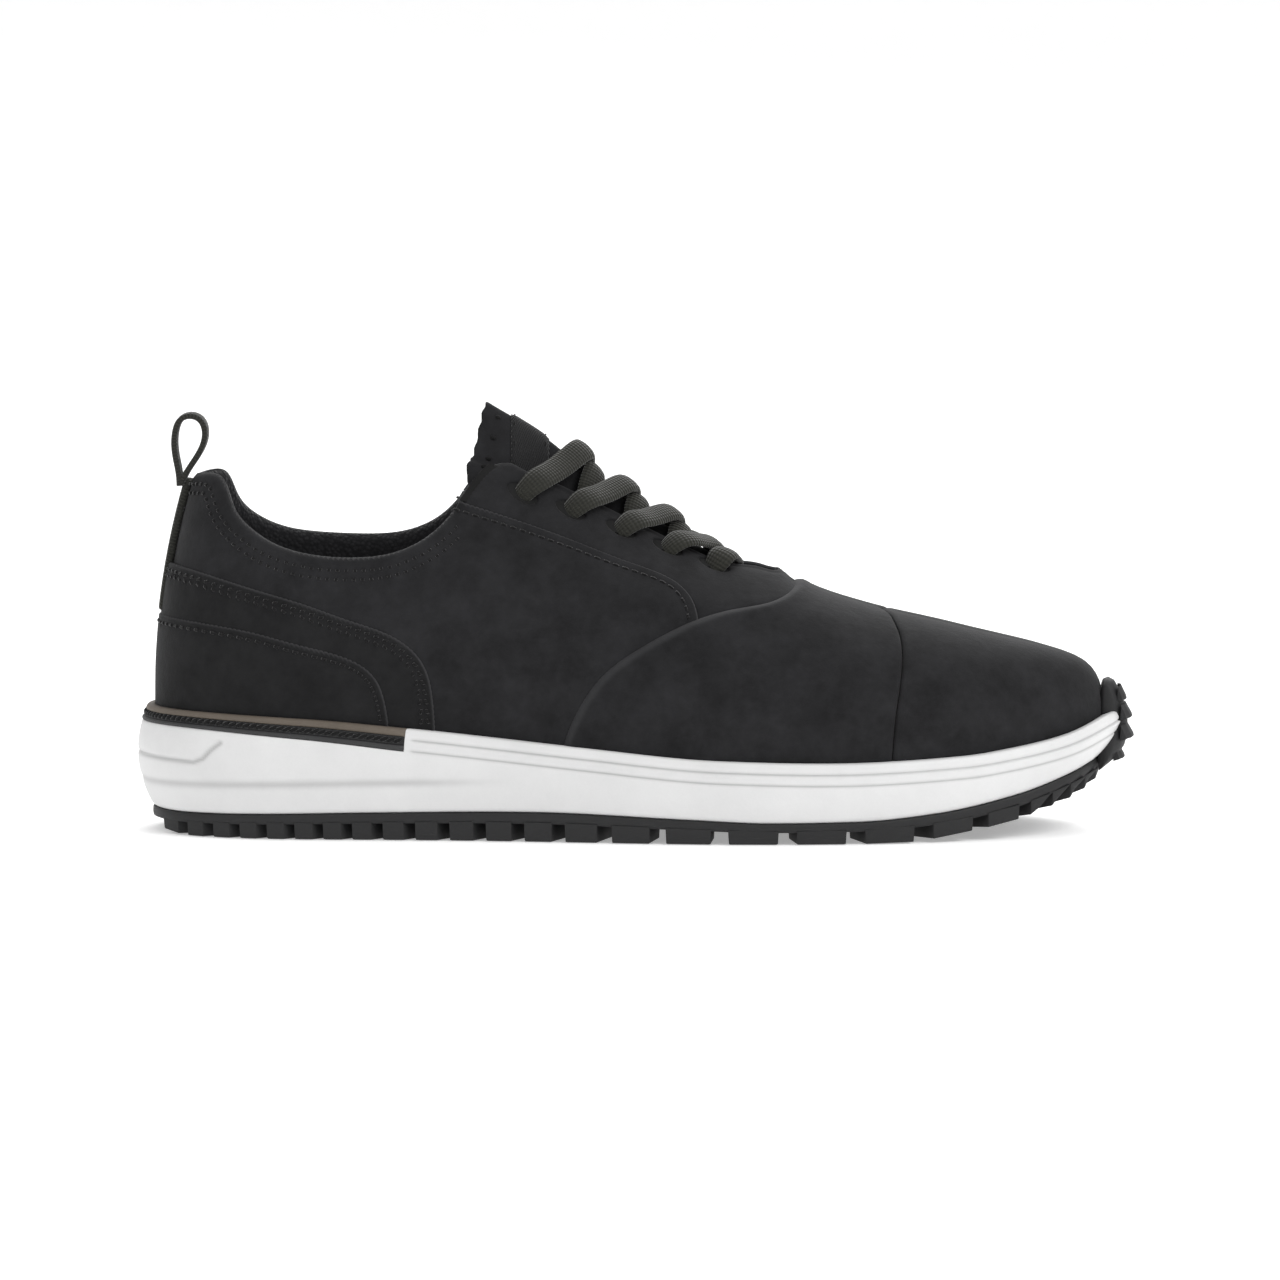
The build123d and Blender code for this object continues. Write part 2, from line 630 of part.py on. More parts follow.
with BuildPart() as toe_puff:
    add(cut_panel(filler, [], [behind(PUFF_X + GLUE)]))
toe_puff.part.label = "toe_puff"
export_step(toe_puff.part, "parts/toe_puff.step")

with BuildPart() as heel_counter:
    add(cut_panel(filler, [counter_zone]))
heel_counter.part.label = "heel_counter"
export_step(heel_counter.part, "parts/heel_counter.step")

with BuildPart() as vamp_lining:
    add(cut_panel(lining, [], [behind(LINING_SEAM_X + GLUE)]))
vamp_lining.part.label = "vamp_lining"
export_step(vamp_lining.part, "parts/vamp_lining.step")

with BuildPart() as quarter_lining:
    add(cut_panel(lining, [behind(LINING_SEAM_X)], [pad_zone]))
quarter_lining.part.label = "quarter_lining"
export_step(quarter_lining.part, "parts/quarter_lining.step")

with BuildPart() as collar_foam:
    add(cut_panel(layer(PAD_FOAM), [pad_zone], [above_collar]))
collar_foam.part.label = "collar_foam"
export_step(collar_foam.part, "parts/collar_foam.step")

with BuildPart() as collar_lining:
    add(cut_panel(layer(PAD_LINING), [pad_zone], [above_collar]))
collar_lining.part.label = "collar_lining"
export_step(collar_lining.part, "parts/collar_lining.step")

with BuildPart() as heel_foxing_upper:
    add(cut_panel(layer(FOXING_UPPER), [above_rim, upper_foxing_zone]))
heel_foxing_upper.part.label = "heel_foxing_upper"
export_step(heel_foxing_upper.part, "parts/heel_foxing_upper.step")

with BuildPart() as heel_foxing_lower:
    add(cut_panel(layer(FOXING_LOWER), [above_rim, lower_foxing_zone]))
heel_foxing_lower.part.label = "heel_foxing_lower"
export_step(heel_foxing_lower.part, "parts/heel_foxing_lower.step")

with BuildPart() as strip_space:
    with Locations((HEEL_X, 0, STRIP_LOW)):
        Box(60, LOOP_WIDTH, STRIP_HIGH - STRIP_LOW, align=(Align.CENTER, Align.CENTER, Align.MIN))

with BuildPart() as heel_pull_strip:
    add(cut_panel(layer(FOXING_LOWER), [strip_space.part]))
heel_pull_strip.part.label = "heel_pull_strip"
export_step(heel_pull_strip.part, "parts/heel_pull_strip.step")

with BuildPart() as pull_loop:
    with BuildSketch(Plane.XZ):
        with BuildSketch(mode=Mode.PRIVATE) as inner:
            with Locations(LOOP_TOP):
                Circle(LOOP_TOP_RADIUS - WEBBING)
            with Locations(LOOP_EYE_FOOT):
                Circle(LOOP_FOOT_RADIUS / 2)
            make_hull()
        with Locations(LOOP_TOP):
            Circle(LOOP_TOP_RADIUS)
        with Locations(LOOP_HINGE):
            Circle(LOOP_FOOT_RADIUS)
        make_hull()
        add(inner.sketch, mode=Mode.SUBTRACT)
    extrude(amount=LOOP_WIDTH / 2, both=True)
pull_loop.part.label = "pull_loop"
export_step(pull_loop.part, "parts/pull_loop.step")

# ---------------------------------------------------------------- tongue and lace
lace_runs = []
lace_dents = []
for i, bow in enumerate(LACE_BOWS):
    ahead = min(i + 1, len(EYELET_X) - 1)
    for side, level in zip((LATERAL, MEDIAL), LACE_LEVELS):
        if side == MEDIAL and ahead == i:
            continue  # the last pair of eyelets holds one straight bar
        start = (EYELET_X[i], EYELET_Y[side][i])
        route = lace_route(start, (EYELET_X[ahead], EYELET_Y[-side][ahead]), level, bow)
        lace_runs.append(ribbon(*route))
        lace_dents.append(relief_strap(*route))

tail_ends = {}
for name, side in (("lateral", LATERAL), ("medial", MEDIAL)):
    spots = [(EYELET_X[0] + x, EYELET_Y[side][0] + side * y) for x, y in TAIL]
    points, normals = zip(*[last_point(x, y, LACE_BELOW) for x, y in spots])
    lace_runs.append(ribbon(points, normals))
    tail_ends[name] = points[-1]

tongue_notches = []
for side in (LATERAL, MEDIAL):
    for start_x, end_x, inner_y in TONGUE_NOTCHES:
        with BuildPart() as notch:
            with Locations(((start_x + end_x) / 2, side * (inner_y + BIG / 2), 0)):
                Box(end_x - start_x, BIG, 2 * BIG)
        tongue_notches.append(notch.part)

tongue_end = side_prism(TONGUE_LEAN, [(-BIG, 60), (-BIG, 150)])
for name, depths in TONGUE_LAYERS.items():
    with BuildPart() as tongue:
        add(tongue_layer(depths))
        add(tongue_end, mode=Mode.SUBTRACT)
        if name != "tongue_lining":
            add(lace_dents, mode=Mode.SUBTRACT)
            add(tongue_notches, mode=Mode.SUBTRACT)
    tongue.part.label = name
    export_step(tongue.part, f"parts/{name}.step")

with BuildPart() as tongue_label:
    add(tongue_layer(LABEL_DEPTHS, LABEL_STATIONS, LABEL_HALF_WIDTH))
tongue_label.part.label = "tongue_label"
export_step(tongue_label.part, "parts/tongue_label.step")

with BuildPart() as lace:
    add(lace_runs)
    add(eyelet_pins(LACE_CORE, LACE_ABOVE, LACE_BELOW))
lace.part.label = "lace"
export_step(lace.part, "parts/lace.step")

for name, end in tail_ends.items():
    with BuildPart() as aglet:
        with Locations(end - Vector(0, 0, AGLET_GAP)):
            Cylinder(AGLET_RADIUS, AGLET_LENGTH, align=(Align.CENTER, Align.CENTER, Align.MAX))
    aglet.part.label = f"aglet_{name}"
    export_step(aglet.part, f"parts/aglet_{name}.step")
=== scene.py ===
"""The look of the golf shoe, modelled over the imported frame. Lengths in the helpers are millimetres."""

import math

import bmesh
import bpy
import numpy as np
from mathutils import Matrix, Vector, noise
from mathutils.geometry import delaunay_2d_cdt
from mathutils.kdtree import KDTree


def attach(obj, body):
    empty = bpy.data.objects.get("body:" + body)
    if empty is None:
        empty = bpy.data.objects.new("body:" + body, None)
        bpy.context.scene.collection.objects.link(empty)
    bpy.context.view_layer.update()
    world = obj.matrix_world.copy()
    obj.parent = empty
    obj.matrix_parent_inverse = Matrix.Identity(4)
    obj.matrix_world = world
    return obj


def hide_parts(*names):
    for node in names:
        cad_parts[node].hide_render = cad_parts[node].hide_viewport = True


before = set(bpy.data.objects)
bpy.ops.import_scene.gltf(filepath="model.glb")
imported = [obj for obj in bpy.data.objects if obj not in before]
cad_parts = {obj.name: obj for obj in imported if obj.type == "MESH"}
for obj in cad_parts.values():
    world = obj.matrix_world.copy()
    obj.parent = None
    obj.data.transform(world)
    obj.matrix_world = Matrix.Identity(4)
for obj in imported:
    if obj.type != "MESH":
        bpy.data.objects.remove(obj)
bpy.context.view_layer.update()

MM = 0.001
LATERAL, MEDIAL = -1, 1
SIDES = {"lateral": LATERAL, "medial": MEDIAL}

# ---------------------------------------------------------------- the last, as in the CAD source
FAN_SHIFT, FAN_SCALE = 6.7, 0.778
OUTLINE = [
    (-143.5, 0), (-137, -19), (-120, -30.5), (-88, -35.5), (-48, -38), (-10, -43.5),
    (25, -48), (58, -47.5), (90, -41.5), (117, -30.5), (135, -17), (143, 0),
    (138.5, 15), (122, 30), (98, 40.5), (70, 47), (42, 47.8), (14, 44),
    (-15, 38.5), (-48, 35), (-85, 34), (-118, 29.5), (-137, 18.5),
]
RIDGE = [(-105, 150), (-75, 147), (-58, 137), (-45, 127), (-34, 119.5), (-20, 109.5), (0, 97),
         (13, 89.5), (27, 82.3), (46, 75.5), (62, 69.5), (76, 65.5), (104, 59.4), (118, 57)]
TURN = [(-144, 42), (-100, 38), (-45, 33), (0, 28), (60, 25), (113, 28), (143, 33)]
LIFT = [(-144, 0.46), (-100, 0.50), (-40, 0.54), (10, 0.52), (60, 0.60), (110, 0.68), (143, 0.87)]
FLAT = [(-144, 0.46), (-100, 0.50), (-40, 0.54), (10, 0.52), (60, 0.60), (110, 0.64), (143, 0.60)]
DROP = [(95, 0), (143, 4.4)]
RIM = [(-160, 37.5), (-144, 37.5), (-100, 36), (-69, 33.4), (-45, 31), (-15, 28), (25, 24.6),
       (60, 23.8), (98, 25.2), (113, 27), (129, 30), (143, 35), (160, 41)]
SOLE_LINE = [(-160, 6.8), (-144, 6.8), (-75, 8), (-30, 8.6), (17, 7), (40, 6.1), (67, 6.4),
             (90, 8.4), (114, 13), (129, 17.6), (143, 23), (160, 31)]
PLATE_LINE = [(-160, 3.8), (-144, 3.8), (-75, 4.8), (-30, 5.2), (17, 4), (40, 3.4), (67, 3.6),
              (90, 5.2), (114, 9.4), (129, 14), (143, 19.5), (160, 28)]
TREAD_LINE = [(-160, 1.6), (-146, 1.6), (-134, 0), (0, 0), (78, 0), (98, 2.6), (114, 5.6),
              (125, 9), (132, 11.4), (143, 17.2), (160, 26)]
BED_DEPTH = 6.0
COLLAR = [(-150, 108), (-133, 108), (-126, 108), (-121.5, 100), (-115, 92.5), (-107, 87.8), (-97, 85),
          (-84, 84), (-72, 85.4), (-62, 90), (-54.5, 97), (-49, 104.5), (-44.5, 109.6),
          (-39.5, 112.2), (-34.5, 112)]
THROAT = [(-60, 14), (-40, 12.8), (-8, 10.0), (25, 8.0), (36, 6.6)]
THROAT_END_X = 43.0


# ---------------------------------------------------------------- curves
def along(points):
    """A smooth function of x through the points, which never overshoots between two of them."""
    xs, zs = np.array(points, float).T
    slope = np.diff(zs) / np.diff(xs)
    before, after = slope[:-1], slope[1:]
    total = np.where(before * after > 0, before + after, 1.0)
    inner = np.where(before * after > 0, 2 * before * after / total, 0.0)
    grade = np.concatenate(([slope[0]], inner, [slope[-1]]))

    def value(x):
        x = np.clip(x, xs[0], xs[-1])
        i = np.clip(np.searchsorted(xs, x, side="right") - 1, 0, len(xs) - 2)
        h = xs[i + 1] - xs[i]
        t = (x - xs[i]) / h
        start = zs[i] * (1 + 2 * t) * (1 - t) ** 2 + h * grade[i] * t * (1 - t) ** 2
        return start + zs[i + 1] * t * t * (3 - 2 * t) - h * grade[i + 1] * t * t * (1 - t)

    return value


def spline(points, step, closed=False):
    """Points about a step apart along the smooth curve through the given points."""
    p = np.array(points, float)
    if closed:
        p = np.vstack((p, p[:1]))
    n = len(p)
    h = np.linalg.norm(np.diff(p, axis=0), axis=1)
    rate = np.diff(p, axis=0) / h[:, None]
    matrix = np.zeros((n, n))
    target = np.zeros((n, p.shape[1]))
    for i in range(1, n - 1):
        matrix[i, i - 1 : i + 2] = h[i], 2 * (h[i - 1] + h[i]), h[i - 1]
        target[i] = 3 * (h[i] * rate[i - 1] + h[i - 1] * rate[i])
    if closed:
        matrix[0, 0], matrix[0, 1], matrix[0, -2] = 2 * (h[-1] + h[0]), h[-1], h[0]
        target[0] = 3 * (h[0] * rate[-1] + h[-1] * rate[0])
        matrix[-1, 0], matrix[-1, -1] = 1, -1
    else:
        matrix[0, :2] = 2, 1
        target[0] = 3 * rate[0]
        matrix[-1, -2:] = 1, 2
        target[-1] = 3 * rate[-1]
    grade = np.linalg.solve(matrix, target)
    rows = []
    for i in range(n - 1):
        t = np.linspace(0, 1, max(2, int(math.ceil(h[i] / step))) + 1)[:-1, None]
        rows.append(
            p[i] * (1 + 2 * t) * (1 - t) ** 2
            + h[i] * grade[i] * t * (1 - t) ** 2
            + p[i + 1] * t * t * (3 - 2 * t)
            - h[i] * grade[i + 1] * t * t * (1 - t)
        )
    rows.append(p[-1:])
    return np.vstack(rows)


def unit(v):
    """Vectors scaled to length one."""
    return v / np.linalg.norm(v, axis=-1, keepdims=True)


def directions(points):
    """Unit tangents along a line of points."""
    return unit(np.gradient(points, axis=0))


def lengths(points):
    """The distance along a line of points at each of them."""
    return np.concatenate(([0.0], np.cumsum(np.linalg.norm(np.diff(points, axis=0), axis=1))))


def fade(x, low, high):
    """A smooth rise from 0 to 1 between low and high."""
    t = np.clip((x - low) / (high - low), 0, 1)
    return t * t * (3 - 2 * t)


def between(marks, reach, points):
    """Each column of the points, known at the distances reach, read off at the marks."""
    return np.column_stack([np.interp(marks, reach, column) for column in np.transpose(points)])


def respaced(points, step):
    """The same line with its points evenly spaced, about a step apart."""
    reach = lengths(points)
    marks = np.linspace(0, reach[-1], max(2, int(round(reach[-1] / step)) + 1))
    return between(marks, reach, points)


rim, sole_line, plate_line, tread_line = map(along, (RIM, SOLE_LINE, PLATE_LINE, TREAD_LINE))
ridge, turn, lift, flat, drop = map(along, (RIDGE, TURN, LIFT, FLAT, DROP))
throat_width = along(THROAT)

foot_path = spline(OUTLINE, 0.12, closed=True)
foot_reach = lengths(foot_path)
AROUND = foot_reach[-1]  # length of the foot line
TOE_A = foot_reach[np.argmin(np.linalg.norm(foot_path - np.array([143.0, 0.0]), axis=1))]


def foot(a):
    """Points of the foot line, by the distance from the heel round the lateral side."""
    a = np.mod(a, AROUND)
    return np.interp(a, foot_reach, foot_path[:, 0]), np.interp(a, foot_reach, foot_path[:, 1])


WALL = 0.16  # share of a section below its shoulder
FAR = 99.0


def section(a):
    """Foot point, inward direction, run and heights of the section planes."""
    x, y = foot(a)
    centre = FAN_SHIFT + FAN_SCALE * x
    dx, dy = centre - x, -y
    run = np.hypot(dx, dy)
    return x, y, dx / run, dy / run, run, centre


def base(a, h):
    """Points of the last: a runs round the foot line, h from the foot bed (0) to the ridge (1)."""
    a, h = np.broadcast_arrays(np.asarray(a, float), np.asarray(h, float))
    x, y, ux, uy, run, centre = section(a)
    shoulder, top, low = turn(x), ridge(centre), rim(x) - BED_DEPTH
    t = np.clip((h - WALL) / (1 - WALL), 0, 1)
    s2 = run - flat(x) * run
    z1 = shoulder + lift(x) * (top - shoulder)
    z2 = top - drop(x) * ux * ux
    b1, b2, b3 = 3 * t * (1 - t) ** 2, 3 * t * t * (1 - t), t**3
    s = b2 * s2 + b3 * run
    z = shoulder * (1 - t) ** 3 + b1 * z1 + b2 * z2 + b3 * top
    z = np.where(h < WALL, low + (shoulder - low) * h / WALL, z)
    return np.stack((x + ux * s, y + uy * s, z), axis=-1)


def slopes(a, h):
    """The last's derivatives with a and with h."""
    step_a, step_h = 0.6, 0.004
    up = np.minimum(np.asarray(h) + step_h, 1.0)
    down = np.maximum(up - 2 * step_h, 0.0)
    along_a = (base(a + step_a, h) - base(a - step_a, h)) / (2 * step_a)
    along_h = (base(a, up) - base(a, down)) / (up - down)[..., None]
    return along_a, along_h


def normals(a, h):
    """Outward normals of the last."""
    along_a, along_h = slopes(a, h)
    n = unit(np.cross(along_a, along_h))
    near = np.clip((1 - np.asarray(h)) / 0.03, 0, 1)[..., None]
    level = n.copy()
    level[..., 1] = 0
    return unit(near * n + (1 - near) * level)


def share_at(a, z):
    """The h where the section at a reaches height z."""
    low, high = np.zeros(len(a)), np.ones(len(a))
    for _ in range(26):
        middle = (low + high) / 2
        below = base(a, middle)[:, 2] < z
        low, high = np.where(below, middle, low), np.where(below, high, middle)
    return (low + high) / 2


def seen_at(side, xz):
    """The (a, h) of the last's points that are seen at (x, z) from one side."""
    x, z = np.array(xz, float).T
    low = np.zeros(len(x))
    high = np.full(len(x), TOE_A if side == LATERAL else AROUND - TOE_A)
    for _ in range(30):
        middle = (low + high) / 2
        a = middle if side == LATERAL else AROUND - middle
        behind = base(a, share_at(a, z))[:, 0] < x
        low, high = np.where(behind, middle, low), np.where(behind, high, middle)
    a = (low + high) / 2
    a = a if side == LATERAL else AROUND - a
    return np.column_stack((a, share_at(a, z)))


def pattern(a, h):
    """The last laid flat: the plan, with each section rolled out from the ridge."""
    x, y, ux, uy, run, centre = section(a)
    marks = np.linspace(0, 1, 9)
    spots = base(a[:, None], h[:, None] + (1 - h[:, None]) * marks)
    reach = np.linalg.norm(np.diff(spots, axis=1), axis=2).sum(axis=1)
    return np.column_stack((centre - ux * reach, -uy * reach))


# ---------------------------------------------------------------- flat pattern and its inverse
def tree(points):
    """A search tree over points of the plan or of space."""
    found = KDTree(len(points))
    for i, p in enumerate(points):
        found.insert((p[0], p[1], p[2] if len(p) > 2 else 0.0), i)
    found.balance()
    return found


def nearest(found, points):
    """Distances and indices of the nearest tree points."""
    rows = [found.find((p[0], p[1], p[2] if len(p) > 2 else 0.0)) for p in points]
    return np.array([r[2] for r in rows]), np.array([r[1] for r in rows])


grid_a, grid_h = np.meshgrid(np.arange(0, AROUND, 1.6), np.linspace(0.02, 1, 70), indexing="ij")
grid_a, grid_h = grid_a.ravel(), grid_h.ravel()
grid_flat = pattern(grid_a, grid_h)
grid_sides = {side: np.flatnonzero(grid_flat[:, 1] * side >= -0.4) for side in (LATERAL, MEDIAL)}
grid_trees = {side: tree(grid_flat[chosen]) for side, chosen in grid_sides.items()}


def pattern_slopes(a, h):
    """The flat pattern's derivatives with a and with h."""
    up = np.minimum(h + 0.004, 1.0)
    down = up - 0.008
    by_a = pattern(a + 0.5, h) - pattern(a - 0.5, h)
    by_h = (pattern(a, up) - pattern(a, down)) / (up - down)[:, None]
    return by_a, by_h


def solved(ja, jh, move):
    """The (a, h) step which makes a move, by least squares."""
    aa, hh, ah = (ja * ja).sum(1) + 1e-6, (jh * jh).sum(1) + 1e-6, (ja * jh).sum(1)
    ra, rh = (ja * move).sum(1), (jh * move).sum(1)
    det = aa * hh - ah * ah + 1e-6
    return (ra * hh - rh * ah) / det, (rh * aa - ra * ah) / det


def unrolled(p):
    """The (a, h) of points of the flat pattern."""
    i = np.empty(len(p), int)
    for side in (LATERAL, MEDIAL):
        mine = (p[:, 1] < 0) == (side == LATERAL)
        if mine.any():
            i[mine] = grid_sides[side][nearest(grid_trees[side], p[mine])[1]]
    a, h = grid_a[i].copy(), grid_h[i].copy()
    for _ in range(5):
        miss = p - pattern(a, h)
        da, dh = solved(*pattern_slopes(a, h), miss)
        a += np.clip(da, -2.5, 2.5)
        h = np.clip(h + np.clip(dh, -0.04, 0.04), 0.0, 1.0)
    return a, h


def stepped(ah, moves):
    """Surface points moved along the surface: their (a, h) steps."""
    return solved(*slopes(ah[:, 0], ah[:, 1]), moves)


def laid(a, h, da, dh):
    """Pattern positions of (a, h) points after small steps, which may cross the ridge."""
    pa, ph = pattern_slopes(a, h)
    return pattern(a, h) + pa * da[:, None] + ph * dh[:, None]


# ---------------------------------------------------------------- seam lines
def seen_curve(points):
    """A seam drawn in side view, as close points."""
    return spline(points, 0.7)


def crossing(p, q):
    """Where two flat lines first cross, as places along each."""
    d1, d2 = np.diff(p, axis=0), np.diff(q, axis=0)
    rx = q[None, :-1, 0] - p[:-1, None, 0]
    rz = q[None, :-1, 1] - p[:-1, None, 1]
    det = d1[:, None, 0] * d2[None, :, 1] - d1[:, None, 1] * d2[None, :, 0]
    det = np.where(np.abs(det) < 1e-12, 1e-12, det)
    t = (rx * d2[None, :, 1] - rz * d2[None, :, 0]) / det
    s = (rx * d1[:, None, 1] - rz * d1[:, None, 0]) / det
    hits = np.argwhere((t >= 0) & (t <= 1) & (s >= 0) & (s <= 1))
    i, j = hits[0]
    return i + t[i, j], j + s[i, j]


def stretch(p, start, end):
    """The part of a line between two places along it."""
    flip = start > end
    low, high = (end, start) if flip else (start, end)
    marks = np.concatenate(([low], np.arange(math.floor(low) + 1, math.ceil(high)), [high]))
    rows = between(marks, np.arange(len(p)), p)
    return rows[::-1] if flip else rows


SEAM_STEP = 1.5


def evened(ah, step=SEAM_STEP):
    """A line on the last with its points evenly spaced in space."""
    reach = lengths(base(ah[:, 0], ah[:, 1]))
    marks = np.linspace(0, reach[-1], max(2, int(round(reach[-1] / step)) + 1))
    return between(marks, reach, ah)


xs = np.arange(-150, 150.5, 1.0)
BOTTOM_DROP = 3.0
bottom_xz = np.column_stack((xs, rim(xs) - BOTTOM_DROP))
ridge_xz = np.column_stack((xs, ridge(xs) - 0.02))
heel_h = np.linspace(0, 1, 200)
heel_xz = base(np.zeros(200), heel_h)[:, [0, 2]]

collar_xz = seen_curve(COLLAR)
stay_xz = seen_curve([(-64, 104), (-46, 98.4), (-30.8, 93.4), (-17, 88.4), (-3, 83), (7, 79.4),
                     (14.2, 75.4), (17.8, 71), (19.5, 60)])
vamp_xz = seen_curve([(-22.6, 10), (-21, 29.3), (-17, 39), (-10, 49), (2.4, 58), (16.6, 65),
                     (30.8, 68.8), (43, 71.2), (49, 75), (52, 90)])
cap_xz = seen_curve([(76.2, 10), (76.7, 24), (78, 38.6), (79.9, 52), (79, 62), (76.4, 67), (75, 90)])
upper_foxing_xz = seen_curve([(-160, 80.5), (-137, 80), (-125, 77.4), (-111.7, 73.7), (-98, 69.8),
                             (-84.8, 65.2), (-76, 62.3), (-69.5, 59.2), (-64.5, 55), (-61.3, 49.5),
                             (-59.8, 43), (-59.2, 20)])
lower_foxing_xz = seen_curve([(-160, 65), (-142, 64.8), (-125, 63.2), (-111.7, 61), (-101.7, 58.4),
                             (-91.4, 55.9), (-84.8, 53.8), (-79.4, 50.8), (-76, 46.8), (-73.9, 41),
                             (-72.3, 20)])
under_vamp_xz = vamp_xz + (4.6, -2.6)
under_stay_xz = stay_xz + (-1.6, -4.6)


def on_side(side, xz):
    """A seam line drawn in side view, laid on one side of the last, evenly spaced."""
    return evened(seen_at(side, xz))


def collar_on(side, start, end):
    """The collar edge on one side: between heel and tongue it is a little higher on the medial side."""
    xz = stretch(collar_xz, start, end)
    if side == MEDIAL:
        share = np.clip((xz[:, 0] + 124) / 74, 0, 1)
        xz = xz + np.column_stack((np.zeros(len(xz)), 3.4 * np.sin(np.pi * share) ** 1.3))
    return on_side(side, xz)


def to_ridge(side, xz):
    """A seam line up from the midsole to the ridge."""
    start = crossing(xz, bottom_xz)[0]
    end = crossing(xz, ridge_xz)[0]
    cut = stretch(xz, start, end)
    ah = seen_at(side, cut)
    ah[-1, 1] = 1.0
    return evened(ah)


def bottom_line(start, end):
    """The hidden lower edge of the upper between two places round the foot line."""
    a = np.linspace(start, end, max(2, int(abs(end - start) / SEAM_STEP)))
    x = foot(a)[0]
    return np.column_stack((a, share_at(a, rim(x) - BOTTOM_DROP)))


def wrapped(ah):
    """The same points with those of the medial side counted back from the heel."""
    return ah - (AROUND, 0.0)


# ---------------------------------------------------------------- meshes
def add_object(name, verts, faces, material, body="shoe", nodes=(), values=None, flat_angle=None):
    """A piece from vertices in millimetres."""
    mesh = bpy.data.meshes.new(name)
    spots = (np.asarray(verts, float) * MM).tolist()
    mesh.from_pydata(spots, [], [tuple(int(i) for i in f) for f in faces])
    mesh.validate()
    for key, data in (values or {}).items():
        layer = mesh.attributes.new(key, "FLOAT", "POINT")
        layer.data.foreach_set("value", np.asarray(data, float))
    shape = bmesh.new()
    shape.from_mesh(mesh)
    bmesh.ops.recalc_face_normals(shape, faces=shape.faces)
    shape.to_mesh(mesh)
    shape.free()
    mesh.shade_smooth()
    obj = bpy.data.objects.new(name, mesh)
    bpy.context.collection.objects.link(obj)
    if flat_angle:
        mesh.shade_flat()
        mesh.set_sharp_from_angle(angle=math.radians(flat_angle))
        for face in mesh.polygons:
            face.use_smooth = True
    mesh.materials.append(material)
    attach(obj, body)
    if nodes:
        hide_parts(*nodes)
    return obj


# distances of the rows of points inside each kind of edge, and how far each edge rolls over
EDGE_RINGS = {
    "raised": (0.12, 0.35, 0.65, 1.0, 1.7, 2.3, 3.2),
    "turned": (0.12, 0.35, 0.7, 1.2, 2.0, 3.0, 4.2, 5.6),
    "seam": (0.2, 0.5, 0.9, 1.4, 2.2, 3.2),
    "under": (1.6, 3.4, 5.2),
    "bottom": (1.4,),
    "collar": (0.2, 0.6, 1.1, 1.8, 2.6, 3.4, 4.6),
    "hole": (0.3, 0.8, 1.4),
}
# the order in which the edges shape a sheet: a turned edge adds its crown, and a hole its painted shade, to
# the rest
EDGE_ORDER = ("bottom", "seam", "under", "collar", "raised", "turned", "hole")
ROLL = {"raised": 0.9, "turned": 3.4, "seam": 1.5, "bottom": 0.8, "collar": 3.0, "hole": 0.9}
SKIVE = 5.2
TURNED_CROWN = 0.5
COLLAR_ROLL = 3.0


def quarter_round(share):
    """The height of a rounded edge at a share of its width."""
    share = np.clip(share, 0, 1)
    return np.sqrt(np.maximum(0.0, 1 - (1 - share) ** 2))


def inside(loops, p):
    """Which points lie inside the loops, by crossings counted."""
    odd = np.zeros(len(p), bool)
    for loop in loops:
        x0, y0 = loop[:, 0], loop[:, 1]
        x1, y1 = np.roll(x0, -1), np.roll(y0, -1)
        for i in range(len(loop)):
            hit = (y0[i] > p[:, 1]) != (y1[i] > p[:, 1])
            if hit.any():
                at = x0[i] + (p[:, 1] - y0[i]) * (x1[i] - x0[i]) / (y1[i] - y0[i] + 1e-12)
                odd ^= hit & (p[:, 0] < at)
    return odd


def ring_points(ah, kinds):
    """Points at the ring distances inside a loop, in the pattern, and their distances."""
    spots = base(ah[:, 0], ah[:, 1])
    tangent = np.roll(spots, -1, axis=0) - np.roll(spots, 1, axis=0)
    tangent /= np.linalg.norm(tangent, axis=1, keepdims=True) + 1e-12
    inward = np.cross(normals(ah[:, 0], ah[:, 1]), tangent)
    rows, reach = [], []
    for kind, rings in EDGE_RINGS.items():
        mine = np.array([k == kind for k in kinds])
        if not mine.any():
            continue
        part = ah[mine]
        for d in rings:
            da, dh = stepped(part, inward[mine] * d)
            rows.append(laid(part[:, 0], part[:, 1], da, dh))
            reach.append(np.full(mine.sum(), d))
    return np.vstack(rows), np.concatenate(reach)


def double_area(loop):
    """Twice the area of a flat loop, positive when it runs anticlockwise."""
    return (loop[:, 0] * np.roll(loop[:, 1], -1) - loop[:, 1] * np.roll(loop[:, 0], -1)).sum()


